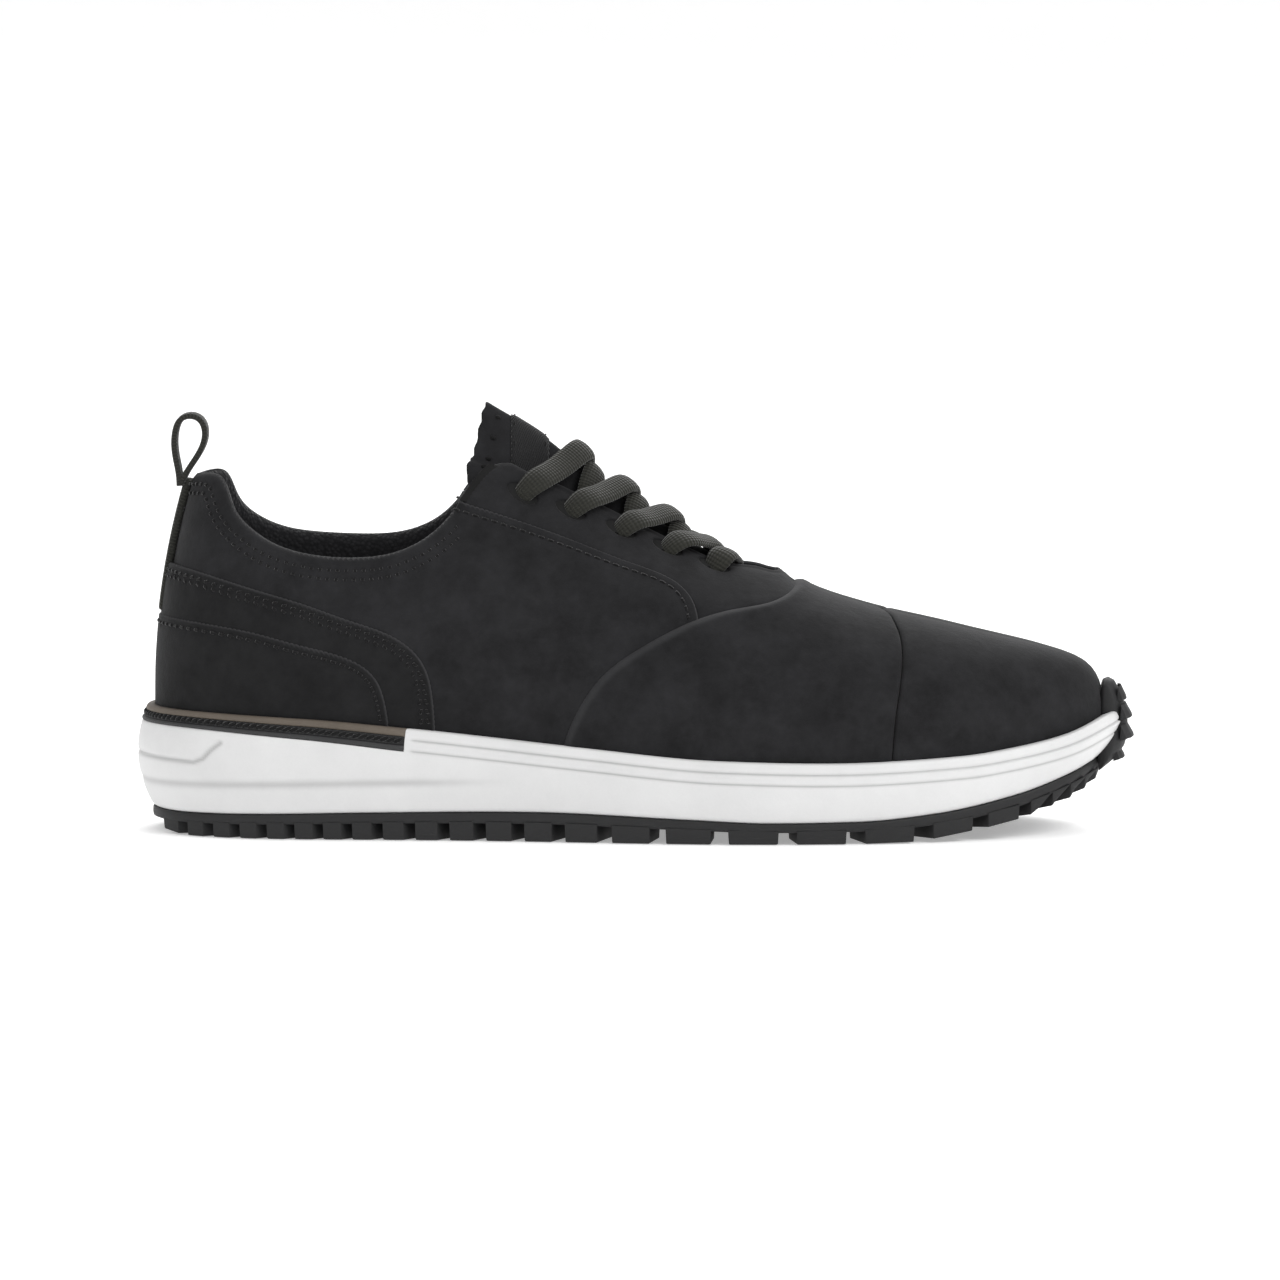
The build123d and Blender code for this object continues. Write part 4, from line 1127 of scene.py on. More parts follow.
def slab(near, far):
    """A closed sheet between two grids of points of the same shape (rows, columns, 3)."""
    rows, cols = near.shape[:2]
    n = rows * cols
    faces = grid_faces(rows, cols) + [f[::-1] for f in grid_faces(rows, cols, first=n)]
    rim_ids = list(range(cols)) + [i * cols + cols - 1 for i in range(1, rows)]
    rim_ids += [(rows - 1) * cols + j for j in range(cols - 2, -1, -1)]
    rim_ids += [i * cols for i in range(rows - 2, 0, -1)]
    for k, i in enumerate(rim_ids):
        j = rim_ids[(k + 1) % len(rim_ids)]
        faces.append((i, j, j + n, i + n))
    return np.vstack((near.reshape(-1, 3), far.reshape(-1, 3))), faces


def tube(rings):
    """A closed form swept through rings of points (rings, points, 3)."""
    count, around = rings.shape[:2]
    faces = grid_faces(count, around, close_cols=True)
    faces.append(tuple(reversed(range(around))))
    faces.append(tuple((count - 1) * around + k for k in range(around)))
    return rings.reshape(-1, 3), faces


def fan(a, inset):
    """Plan points at an inset from the foot line, along the section planes, and their x."""
    x, y, ux, uy, run, centre = section(a)
    return x + ux * inset, y + uy * inset


# ---------------------------------------------------------------- midsole
wall_bulge = along([(-144, 6.2), (-100, 4.8), (0, 4.2), (98, 4.2), (143, 3.6)])
wall_foot = along([(-144, 1.6), (-134, 2.4), (90, 2.6), (113, 2.2), (129, 1.0), (143, -2.4)])
welt_low = along([(-160, 32.8), (-144, 32.8), (-100, 30), (-69, 26.6), (-60, 25.6)])
WALL_TOP = 3.0
BULGE_AT = 0.45
WELT_END_X = -66.2


def wall_spread(x, f):
    """How far the sole wall stands out from the foot line at a share of its height."""
    low, mid, high = wall_foot(x), wall_bulge(x), WALL_TOP
    p, q = BULGE_AT, 1.0
    return (low * (f - p) * (f - q) / (p * q) + mid * f * (f - q) / (p * (p - q))
            + high * f * (f - p) / (q * (q - p)))


def a_at(side, x):
    """The place round the foot line with this x, on one side."""
    half = foot_reach <= TOE_A
    if side == LATERAL:
        return float(np.interp(x, foot_path[half, 0], foot_reach[half]))
    return float(np.interp(x, foot_path[~half, 0][::-1], foot_reach[~half][::-1]))


def notch(d, at, width):
    """A smooth bump of height one at a distance."""
    return np.exp(-(((d - at) / width) ** 2))


HEEL_LINE = [(-151, 23.8), (-140, 23.0), (-130, 22.4), (-127.4, 23.6), (-125.4, 26.0), (-122.6, 28.4)]


def line_distance(line, x, z):
    """Distance from points to a drawn line."""
    best = np.full(np.shape(x + z * 0), FAR)
    for (x0, z0), (x1, z1) in zip(line, line[1:]):
        t = np.clip(((x - x0) * (x1 - x0) + (z - z0) * (z1 - z0)) / ((x1 - x0) ** 2 + (z1 - z0) ** 2), 0, 1)
        best = np.minimum(best, np.hypot(x - x0 - t * (x1 - x0), z - z0 - t * (z1 - z0)))
    return best


welt_ends = [a_at(LATERAL, WELT_END_X), a_at(MEDIAL, WELT_END_X)]
HEEL_REACH = 62  # round the heel, where the columns stand closer
round_a = np.sort(np.concatenate([
    np.arange(0, HEEL_REACH, 0.62), np.arange(HEEL_REACH, AROUND - HEEL_REACH, 1.3),
    np.arange(AROUND - HEEL_REACH, AROUND, 0.62), np.array(welt_ends) - 0.04, np.array(welt_ends) + 0.04,
]))
TOP_ROWS = [0.0, 0.12, 0.35, 0.8, 1.5, 2.3, 2.9, 3.2, 3.5, 3.8, 4.1, 4.8, 5.6, 6.1, 6.5, 6.9, 7.4]
MID_ROWS = 36
EDGE_ROWS = [1.6, 0.9, 0.5, 0.2, 0.0]
foot_x = foot(round_a)[0]
tall = rim(foot_x) - sole_line(foot_x)
rows = [np.full(len(round_a), d) for d in TOP_ROWS]
rows += [TOP_ROWS[-1] + (tall - 1.6 - TOP_ROWS[-1]) * k / MID_ROWS for k in range(1, MID_ROWS)]
rows += [tall - d for d in EDGE_ROWS]
wall_rows, groove_shade = [], []
for d in rows:
    f = np.clip(1 - d / tall, 0, 1)
    s = wall_spread(foot_x, f)
    lip = fade(foot_x, WELT_END_X + 1, WELT_END_X + 3)
    groove = lip * (0.45 * notch(d, 3.3, 0.3) - 0.3 * notch(d, 4.2, 0.5) + 0.42 * notch(d, 6.5, 0.34))
    z_here = rim(foot_x) - d
    groove = groove + 0.5 * notch(line_distance(HEEL_LINE, foot_x - 3.0, z_here), 0.0, 0.62)
    groove = groove + 0.35 * (1 - fade(foot_x, -70, -30)) * notch(z_here, 15.5 + 0.02 * (foot_x + 144), 1.1)
    s = s - groove
    s = s - 0.8 * (1 - quarter_round(d / 0.8)) - 1.2 * (1 - quarter_round((tall - d) / 1.4))
    x, y = fan(round_a, -s)
    z = rim(x) - d * (rim(x) - sole_line(x)) / tall
    z = np.where(foot_x < WELT_END_X, np.minimum(z, welt_low(x)), z)
    wall_rows.append(np.stack((x, y, z), axis=1))
    # painted shade in the wall's grooves, handed to the foam as the edge attribute
    groove_shade.append(-np.clip(groove * 1.6, 0, 0.8))


def disc_rows(z_of, start, inward):
    """Rows of points from the wall to the middle line of the foot."""
    made = []
    run = section(round_a)[4]
    for share in inward:
        x, y = fan(round_a, start + (run - start) * share)
        made.append(np.stack((x, y, z_of(x, foot_x)), axis=1))
    return made


top_in = []
for inset, deep in ((0.3, 0.0), (0.8, 0.0), (0.9, BED_DEPTH)):
    x, y = fan(round_a, inset)
    z = rim(x) - deep
    top_in.append(np.stack((x, y, np.where(foot_x < WELT_END_X, np.minimum(z, welt_low(x)), z)), axis=1))
caps_top = disc_rows(lambda x, fx: rim(x) - BED_DEPTH, 0.9, (0.3, 0.65, 1.0))
caps_low = disc_rows(lambda x, fx: sole_line(x), 2.0, (0.0, 0.35, 0.7, 1.0))
grid = np.array(caps_top[::-1] + top_in[::-1] + wall_rows + caps_low)
groove_shade_grid = np.zeros(grid.shape[:2])
groove_shade_grid[len(caps_top) + len(top_in) : len(caps_top) + len(top_in) + len(wall_rows)] = np.array(groove_shade)


def ring_piece(name, grid, material, nodes, values=None, body="shoe"):
    """A piece from rows of points round the foot: rows that end on the middle line are joined there."""
    faces = grid_faces(*grid.shape[:2], close_cols=True)
    obj = add_object(name, grid.reshape(-1, 3), faces, material, body, nodes, values)
    shape = bmesh.new()
    shape.from_mesh(obj.data)
    bmesh.ops.remove_doubles(shape, verts=shape.verts, dist=0.00002)
    open_edges = [e for e in shape.edges if e.is_boundary]
    if open_edges:
        bmesh.ops.holes_fill(shape, edges=open_edges, sides=0)
    bmesh.ops.recalc_face_normals(shape, faces=shape.faces)
    shape.to_mesh(obj.data)
    shape.free()
    obj.data.shade_smooth()
    return obj


ring_piece("midsole_wall", grid, white_foam, ["midsole"], {"edge": groove_shade_grid.ravel()})

# ---------------------------------------------------------------- welt: strip, stitched band and lip
def welt_spots(a, share, out_by):
    """Points on the heel welt at a share of its height, standing out from the sole wall."""
    from_x = foot(a)[0]
    z = welt_low(from_x) + (rim(from_x) - welt_low(from_x)) * share
    f = 1 - (rim(from_x) - z) / (rim(from_x) - sole_line(from_x))
    x, y = fan(a, -(wall_spread(from_x, f) + out_by))
    return np.stack((x, y, welt_low(x) + (rim(x) - welt_low(x)) * share), axis=1)


welt_a = np.linspace(welt_ends[1] - AROUND, welt_ends[0], 150)
for name, low_share, high_share, bulge, material in (
    ("welt_strip", 0.64, 1.0, 0.25, taupe_strip),
    ("welt_band", 0.26, 0.66, -0.35, black_welt),
    ("welt_lip", 0.0, 0.28, 0.35, grey_lip),
):
    rings = []
    profile = [(-4.0, 0.0), (-0.5, 0.0), (0.0, 0.1), (bulge * 0.8, 0.28), (bulge, 0.5), (bulge * 0.8, 0.72),
               (0.0, 0.9), (-0.5, 1.0), (-4.0, 1.0)]
    for out_by, up_by in profile:
        share = low_share + (high_share - low_share) * up_by
        rings.append(welt_spots(welt_a, share, out_by))
    rings = np.transpose(np.array(rings), (1, 0, 2))
    verts, faces = tube(rings)
    add_object(f"{name}_moulding", verts, faces, material, nodes=[name])

band_a = np.linspace(welt_ends[1] - AROUND + 2, welt_ends[0] - 2, 92)
places = welt_spots(band_a, 0.46, -0.3)
tangent = directions(places)
outward = np.cross(tangent, np.array([0, 0, 1.0]))
outward *= np.sign((outward * (places - np.array([-80, 0, 30]))).sum(1))[:, None]
verts, faces = capsules(places, tangent, outward, 1.35, 0.55, lean=0.42)
add_object("welt_band_stitches", verts, faces, thread,
           values={"run": np.zeros(len(verts)), "across": np.zeros(len(verts))})

# ---------------------------------------------------------------- outsole
PLATE_OUT = 0.3
plate_rows = []
px = foot_x
for s_by, share in ((-0.6, 0.0), (-0.2, 0.02), (0.1, 0.2), (0.15, 0.6), (0.0, 0.94), (-0.5, 1.0)):
    s = wall_spread(px, 0.0 * px) - 0.25 + PLATE_OUT + s_by
    x, y = fan(round_a, -s)
    plate_rows.append(np.stack((x, y, sole_line(x) + (plate_line(x) - sole_line(x)) * share), axis=1))
plate_top = disc_rows(lambda x, fx: sole_line(x) - 0.02, 2.0, (0.0, 0.4, 0.8, 1.0))
plate_low = disc_rows(lambda x, fx: plate_line(x), 2.0, (0.0, 0.4, 0.8, 1.0))
grid = np.array(plate_top[::-1] + plate_rows + plate_low)
ring_piece("outsole_plate", grid, sole_rubber, ["outsole"])


def lug(corners, tops, lows, taper, rake):
    """One tread block from plan corners, its worn face drawn in, and raked back into a tooth at the toe."""
    centre = np.mean(corners, axis=0)
    low = [c + (centre - c) * taper / max(1e-6, np.linalg.norm(c - centre)) for c in corners]
    low[1] = low[1] + (low[0] - low[1]) * rake
    low[2] = low[2] + (low[3] - low[2]) * rake
    return [(*c, z) for c, z in zip(corners, tops)] + [(*c, z) for c, z in zip(low, lows)]


def fan_spot(a, inset):
    """One plan point at an inset from the foot line."""
    x, y = fan(np.array([a]), inset)
    return np.array([x[0], y[0]])


# the tread along the shoe: (x, value) of pitch, of each block's share of it, of slant, rake and half width
LUG_PITCH = [(-140, 7.6), (-90, 8.6), (-30, 12), (20, 20), (70, 20), (104, 13), (118, 6.4), (140, 4.8)]
LUG_SHARE = [(-140, 0.6), (-60, 0.66), (20, 0.74), (104, 0.72), (118, 0.94)]
LUG_SLANT = [(-140, 2.6), (-60, 2.2), (0, 1.2), (60, -1.6), (140, -2.6)]
LUG_RAKE = [(108, 0), (120, 0.72)]
LUG_HALF = [(-130, 5.0), (-60, 7.0), (50, 11.0), (124, 5.0)]


def read(table, x):
    """A value between the (x, value) points of a table."""
    return float(np.interp(x, *zip(*table)))


lug_verts, lug_faces = [], []


def add_lug(corners, taper=0.5, rake=0.0):
    """One more tread block, from the plate down to the tread."""
    tops = [float(plate_line(c[0])) + 0.6 for c in corners]
    lows = [float(tread_line(c[0])) for c in corners]
    first = len(lug_verts)
    lug_verts.extend(lug(corners, tops, lows, taper, rake))
    lug_faces.extend([(first, first + 1, first + 2, first + 3), (first + 7, first + 6, first + 5, first + 4)])
    for k in range(4):
        j = (k + 1) % 4
        lug_faces.append((first + k, first + 4 + k, first + 4 + j, first + j))


for side in (LATERAL, MEDIAL):
    x_now = -139.0
    while x_now < 141:
        pitch = read(LUG_PITCH, x_now)
        length = pitch * read(LUG_SHARE, x_now)
        slant = read(LUG_SLANT, x_now)
        a0, a1 = a_at(side, x_now), a_at(side, x_now + length)
        b0, b1 = a_at(side, x_now + slant), a_at(side, x_now + length + slant)
        outer = -(float(wall_spread(np.array(x_now), 0.0)) + 0.35)
        deep = 13.0 if x_now < 128 else 7.0
        add_lug([fan_spot(a0, outer), fan_spot(a1, outer), fan_spot(b1, deep), fan_spot(b0, deep)], 0.3,
                read(LUG_RAKE, x_now))
        x_now += pitch
LUG_LENGTH = 5.6  # of the two middle rows
for row in (-1, 1):
    x_now = -128.0
    while x_now < 124:
        half = read(LUG_HALF, x_now)
        start, stop = (1.2, half) if row > 0 else (-half, -1.2)
        tilt = 2.4 * row
        corners = ((0, start), (LUG_LENGTH, start), (LUG_LENGTH + tilt, stop), (tilt, stop))
        add_lug([np.array([x_now + dx, y]) for dx, y in corners])
        x_now += 9.6


def bevelled(obj, width):
    """Soften the sharp edges of a piece."""
    shape = bmesh.new()
    shape.from_mesh(obj.data)
    edges = [e for e in shape.edges if len(e.link_faces) == 2 and e.calc_face_angle() > math.radians(35)]
    bmesh.ops.bevel(shape, geom=edges, offset=width * MM, segments=2, profile=0.6,
                    affect="EDGES", clamp_overlap=True)
    bmesh.ops.recalc_face_normals(shape, faces=shape.faces)
    shape.to_mesh(obj.data)
    shape.free()
    obj.data.shade_flat()
    obj.data.set_sharp_from_angle(angle=math.radians(32))
    for face in obj.data.polygons:
        face.use_smooth = True


lugs = add_object("outsole_lugs", lug_verts, lug_faces, sole_rubber, nodes=["outsole"])
bevelled(lugs, 0.35)

# toe bumper, with wedges up its front
BUMPER = [  # inset from the foot line, height over the rim
    (0.6, -16.5), (-3.0, -13.6), (-5.2, -10.2), (-6.2, -6.6), (-6.1, -2), (-5.3, 2), (-4.1, 5.6),
    (-2.0, 9.2), (-0.2, 10.2), (1.2, 9.6), (1.6, 6), (1.6, -2), (1.4, -12),
]
BUMPER_SHARE = [(-16.5, 1.0), (-8, 0.86), (2, 0.66), (10.2, 0.6)]  # how far round it reaches, by height
BUMPER_END_X = 140.6
bumper_half = TOE_A - a_at(LATERAL, BUMPER_END_X)
around_toe = np.linspace(-1, 1, 40)
closeness = 1 - np.abs(around_toe) ** 3
rings = []
for inset, height in BUMPER:
    drawn = inset if inset > 0 else inset * (0.55 + 0.45 * closeness)
    narrow = read(BUMPER_SHARE, height)
    row_a = TOE_A + bumper_half * narrow * around_toe
    fx = foot(row_a)[0]
    x, y = fan(row_a, drawn)
    squeeze = 0.82 + 0.18 * closeness
    rings.append(np.stack((x, y, rim(fx) + np.where(height > 0, height * squeeze, height)), axis=1))
verts, faces = tube(np.transpose(np.array(rings), (1, 0, 2)))
add_object("toe_bumper", verts, faces, sole_rubber, nodes=["outsole"])
tooth_verts, tooth_faces = [], []
for k, (height, deep) in enumerate(((-12.8, 2.0), (-6.4, 2.0), (-0.5, 1.9), (4.8, 1.6))):
    half = bumper_half - 2.0 - 1.2 * abs(k - 1)
    for start, stop in ((TOE_A - half, TOE_A - 1.0), (TOE_A + 1.0, TOE_A + half)):
        marks = np.linspace(start, stop, 6)
        inset = np.interp(height, [row[1] for row in BUMPER[:9]], [row[0] for row in BUMPER[:9]])
        rings = []
        for a in marks:
            fx = float(foot(np.array([a]))[0][0])
            end = 0.7 + 0.3 * (1 - abs(a - TOE_A) / half)
            ring = []
            for out_by, up_by in ((0.6, -1.6), (-deep * end, -1.0), (-deep * end * 0.92, -0.3), (0.3, 3.2)):
                spot = fan_spot(a, inset * (0.9 if abs(a - TOE_A) > half * 0.7 else 1.0) + out_by)
                ring.append((spot[0], spot[1], float(rim(fx)) + height + up_by))
            rings.append(ring)
        v, f_list = tube(np.array(rings))
        tooth_faces += [tuple(i + len(tooth_verts) for i in face) for face in f_list]
        tooth_verts += [tuple(p) for p in v]
teeth = add_object("toe_bumper_wedges", tooth_verts, tooth_faces, sole_rubber,
                   nodes=["outsole"])
bevelled(teeth, 0.2)


# ---------------------------------------------------------------- collar pad and linings
def sunk(a, h, reach):
    """The h at a distance down each section from (a, h)."""
    marks = np.linspace(0, 1, 60)
    result = np.empty(len(a))
    for i in range(len(a)):
        hs = h[i] * (1 - marks)
        run = lengths(base(np.full(60, a[i]), hs))
        result[i] = np.interp(reach[i], run, hs)
    return result


top_lateral = np.vstack((collar_lines[LATERAL][:-1], corner_lines[LATERAL][0], corner_lines[LATERAL][1][1:]))
top_medial = np.vstack((collar_lines[MEDIAL][:-1], corner_lines[MEDIAL][0], corner_lines[MEDIAL][1][1:]))
top_medial = wrapped(top_medial)[::-1]
top_lateral[0, 0] = 0.0
top_line = evened(np.vstack((top_medial[:-1], top_lateral)), 1.7)
PAD_PROFILE = [  # distance below the collar edge, inset
    (0.0, 3.0), (0.25, 3.9), (0.9, 4.9), (2.0, 5.7), (3.6, 6.2), (6.0, 6.5), (9.0, 6.7), (12.0, 6.5),
    (14.6, 5.9),
    (16.6, 4.9), (18.0, 3.8), (16.0, 2.7), (10.0, 2.6), (5.0, 2.5), (2.0, 2.5), (0.6, 2.7),
]
top_reach = lengths(base(top_line[:, 0], top_line[:, 1]))
ends = np.minimum(top_reach, top_reach[::-1])
fullness = 0.25 + 0.75 * fade(ends, 0, 26)
rings = []
for d, inset in PAD_PROFILE:
    h = sunk(top_line[:, 0], top_line[:, 1], d * (0.3 + 0.7 * fullness))
    depth = 2.4 + (inset - 2.4) * (0.35 + 0.65 * fullness)
    rings.append(base(top_line[:, 0], h) - normals(top_line[:, 0], h) * depth[:, None])
verts, faces = tube(np.transpose(np.array(rings), (1, 0, 2)))
collar_pad = add_object("collar_pad", verts, faces, lining_cloth,
                        nodes=["collar_foam", "collar_lining"])


LINING_ROWS, LINING_COLUMNS = 30, 90
LINING_FACE, LINING_BACK = 2.95, 3.6  # insets from the last


def lining_top(side):
    """The upper edge of the lining on one side: under the collar pad, then the throat, then the ridge."""
    collar = np.vstack((collar_lines[side], corner_lines[side][0]))
    slot_line = throat_lines[side]
    a0 = collar[:, 0]
    h0 = sunk(collar[:, 0], collar[:, 1], np.full(len(collar), 12.0))
    line_a = np.concatenate((a0, slot_line[:, 0], [TOE_A]))
    line_h = np.concatenate((h0, slot_line[:, 1] - 0.012, [0.985]))
    order = np.argsort(line_a)
    return line_a[order], line_h[order]


for name, side in SIDES.items():
    line_a, line_h = lining_top(side)
    for part, start_x, stop_x in (("quarter", -145, 10), ("vamp", 10, 145)):
        a0 = 0.0 if start_x < -143 else a_at(side, start_x)
        if side == MEDIAL and start_x < -143:
            a0 = AROUND
        a1 = TOE_A if stop_x > 143 else a_at(side, stop_x)
        cols = np.linspace(a0, a1, LINING_COLUMNS)
        tops = np.interp(cols, line_a, line_h)
        shares = np.linspace(0, 1, LINING_ROWS)
        low_h = share_at(cols, rim(foot(cols)[0]) - BED_DEPTH + 1.0)
        grid_cols = np.repeat(cols[None, :], LINING_ROWS, axis=0)
        grid_rows = tops[None, :] + (low_h - tops)[None, :] * shares[:, None]
        spots, up = base(grid_cols, grid_rows), normals(grid_cols, grid_rows)
        verts, faces = slab(spots - up * LINING_FACE, spots - up * LINING_BACK)
        add_object(f"{part}_lining_{name}", verts, faces, lining_cloth, nodes=[f"{part}_lining"])

# ---------------------------------------------------------------- insole
insole_a = np.arange(0, AROUND, 2.2)
insole_run = section(insole_a)[4]


def insole_rows(rows):
    """Rows of points round the insole: each has its share of the way in, inset and height."""
    made = []
    for share, inset, lift_by in rows:
        reach = inset + (insole_run - inset) * share
        x, y = fan(insole_a, reach + 0.9 * (1 - share))
        cup = 1.6 * (1 - fade(reach, inset, inset + 9))
        arch = 2.0 * np.exp(-(((x + 25) / 32) ** 2)) * np.clip(y / 30, 0, 1)
        z = rim(x) - BED_DEPTH + lift_by + (cup + arch if lift_by > 3 else 0)
        made.append(np.stack((x, y, z), axis=1))
    return np.array(made)


# (share of the way in, inset, height over the foot bed)
foam_rows = insole_rows([
    (1.0, 5.2, 2.0), (0.5, 5.2, 2.0), (0.0, 5.6, 2.0), (0.0, 5.2, 2.4), (0.0, 5.2, 4.6), (0.0, 5.5, 5.1),
    (0.06, 5.2, 5.3), (0.15, 5.2, 5.35), (0.3, 5.2, 5.4), (0.5, 5.2, 5.4), (0.75, 5.2, 5.4), (1.0, 5.2, 5.4),
])
foam_grey = textile("insole_foam_grey", srgb(40, 40, 42), srgb(70, 70, 72), 700)
insole_foam = ring_piece("insole_foam", foam_rows, foam_grey, ["insole"], body="insole_body")
cloth_rows = insole_rows([
    (1.0, 5.2, 5.5), (0.75, 5.2, 5.5), (0.5, 5.2, 5.5), (0.3, 5.2, 5.5), (0.15, 5.2, 5.45), (0.06, 5.2, 5.4),
    (0.0, 5.3, 5.2), (0.0, 5.0, 5.3), (0.02, 5.0, 6.0), (0.06, 5.2, 6.1), (0.15, 5.2, 6.15), (0.3, 5.2, 6.2),
    (0.5, 5.2, 6.2), (0.75, 5.2, 6.2), (1.0, 5.2, 6.2),
])
ring_piece("insole_top_cloth", cloth_rows, insole_cloth, ["insole_cloth"], body="insole_body")

# ---------------------------------------------------------------- tongue
tongue_ridge = along([(-56, 136), (-45, 127.6), (-34, 121), (-23, 114), (-10, 103.5), (0, 97), (13, 89),
                      (27, 80.4), (36, 75), (43, 70.6), (50, 67.6)])
tongue_width = along([(-56, 20), (-30, 20.5), (0, 21), (50, 18)])
TONGUE_INSET = 5.6
TONGUE_FRONT_X, TONGUE_END_X = 49.5, -43.8  # on the middle line
TONGUE_HALF = 20.5
FIELD_STEP = 1.5  # of a table of the last's height and normals over the plan
field_x, field_y = np.arange(-62, 62.5, FIELD_STEP), np.arange(-27, 27.5, FIELD_STEP)
fx_grid, fy_grid = np.meshgrid(field_x, field_y, indexing="ij")
field = surface_at(fx_grid.ravel(), fy_grid.ravel())
field_z = base(field[:, 0], field[:, 1])[:, 2].reshape(fx_grid.shape)
field_n = normals(field[:, 0], field[:, 1]).reshape(*fx_grid.shape, 3)


def field_at(table, x, y):
    """A table over the plan, read between its points."""
    x, y = np.broadcast_arrays(np.asarray(x, float), np.asarray(y, float))
    u = np.clip((x - field_x[0]) / FIELD_STEP, 0, len(field_x) - 1.001)
    v = np.clip((y - field_y[0]) / FIELD_STEP, 0, len(field_y) - 1.001)
    i, j = u.astype(int), v.astype(int)
    s, t = u - i, v - j
    if table.ndim == 3:
        s, t = s[..., None], t[..., None]
    return (table[i, j] * (1 - s) * (1 - t) + table[i + 1, j] * s * (1 - t)
            + table[i, j + 1] * (1 - s) * t + table[i + 1, j + 1] * s * t)


def up_at(x, y):
    """The last's outward normal over a plan position."""
    return unit(field_at(field_n, x, y))


def last_z(x, y, inset):
    """Height of a surface inside the last over a plan position."""
    return field_at(field_z, x, y) - inset / np.maximum(up_at(x, y)[..., 2], 0.35)


def tongue_z(x, y, depth):
    """Height of the tongue: it swells up through the throat."""
    swell = throat_width(np.minimum(x, 36)) - 2.0
    flat_y = np.where(np.abs(y) < swell, np.sign(y + 1e-9) * swell, y)
    low = last_z(x, flat_y, TONGUE_INSET + depth)
    share = np.where(np.abs(y) < swell, 0.5 + 0.5 * np.cos(np.pi * y / swell), 0.0)
    crest = tongue_ridge(x) + 1.3 * (1 - fade(x, -32, -14))
    return low + share * (crest - 1.17 * depth - low)


def tongue_grid(depth, shrink=0.0, back=0.0, teeth=0.0):
    """Points over the tongue, along it and across it."""
    across = np.linspace(-1, 1, 81)
    rows = []
    for share in np.concatenate((np.linspace(0, 0.9, 46), np.linspace(0.91, 1, 12))):
        away = np.abs(across)
        end = back + TONGUE_END_X - 9.6 * np.minimum(away, 0.66) ** 0.95 + 9.0 * np.maximum(away - 0.66, 0)
        zig = teeth * (np.abs(((across * TONGUE_HALF / 2.3) % 1.0) - 0.5) * 2 - 0.5)
        x = TONGUE_FRONT_X + (end - TONGUE_FRONT_X) * share + zig * max(0.0, (share - 0.94) / 0.06)
        y = across * (tongue_width(np.clip(x, -56, 50)) - shrink)
        corner = fade(np.full(1, share), 0.9, 1.0)[0]
        y = y * (1 - 0.05 * corner * np.abs(across) ** 6)
        rows.append(np.stack((x, y, tongue_z(x, y, depth)), axis=1))
    return np.array(rows)


def edge_rolled(near, far):
    """Two grids drawn together at their edges, for a soft rounded rim."""
    near, far = near.copy(), far.copy()
    middle = (near + far) / 2
    rows, cols = near.shape[:2]
    for grid in (near, far):
        for k, keep in ((0, 0.1), (1, 0.7)):
            for block in ((slice(k, k + 1), slice(None)), (slice(rows - 1 - k, rows - k), slice(None)),
                          (slice(None), slice(k, k + 1)), (slice(None), slice(cols - 1 - k, cols - k))):
                grid[block] = middle[block] + (grid[block] - middle[block]) * keep
    return near, far


verts, faces = slab(tongue_grid(0.0, teeth=0.6), tongue_grid(1.0, teeth=0.6))
add_object("tongue_leather", verts, faces, black_leather, "tongue_body", ["tongue"],
                         {"edge": np.zeros(len(verts))})
soft_face, soft_back = edge_rolled(tongue_grid(1.05, 1.0, 1.6), tongue_grid(4.7, 1.0, 1.6))
verts, faces = slab(soft_face, soft_back)
tongue_pad = add_object("tongue_pad", verts, faces, lining_cloth, "tongue_body",
                        ["tongue_foam", "tongue_lining"])


def tongue_spots(x, y, depth):
    """Points of the tongue at a depth under its face."""
    x, y = np.asarray(x, float), np.asarray(y, float)
    return np.stack((x, y, tongue_z(x, y, depth)), axis=-1)


def tongue_up(x, y):
    """Normals of the tongue's face."""
    dx = tongue_spots(x + 0.4, y, 0) - tongue_spots(x - 0.4, y, 0)
    dy = tongue_spots(x, y + 0.4, 0) - tongue_spots(x, y - 0.4, 0)
    return unit(np.cross(dx, dy))


def label_grid(depth):
    """Points of the patch on the tongue."""
    xs_label, ys_label = np.linspace(-37, -25.5, 14), np.linspace(-9, 9, 22)
    gx2, gy2 = np.meshgrid(xs_label, ys_label, indexing="ij")
    return tongue_spots(gx2, gy2, depth)


near, far = edge_rolled(label_grid(-0.85), label_grid(0.1))
verts, faces = slab(near, far)
add_object("tongue_label_patch", verts, faces, label_cloth, "tongue_body", ["tongue_label"],
           {"run": verts[:, 0], "across": verts[:, 1]})


def tongue_row(name, xs_row, ys_row, half, radius, sink, material=None):
    """A row of threads or holes on the tongue."""
    spots = tongue_spots(xs_row, ys_row, -sink)
    up = tongue_up(np.asarray(xs_row, float), np.asarray(ys_row, float))
    tangent = directions(spots)
    v, f_list = capsules(spots, tangent, up, half, radius)
    return add_object(name, v, f_list, material or thread, "tongue_body",
                      values={"run": np.zeros(len(v)), "across": np.zeros(len(v))})


rim_y = np.concatenate((np.linspace(-17.0, -2.6, 6), np.linspace(2.6, 17.0, 6)))
rim_x = TONGUE_END_X - 9.6 * np.abs(rim_y / TONGUE_HALF) ** 0.95 + 4.2
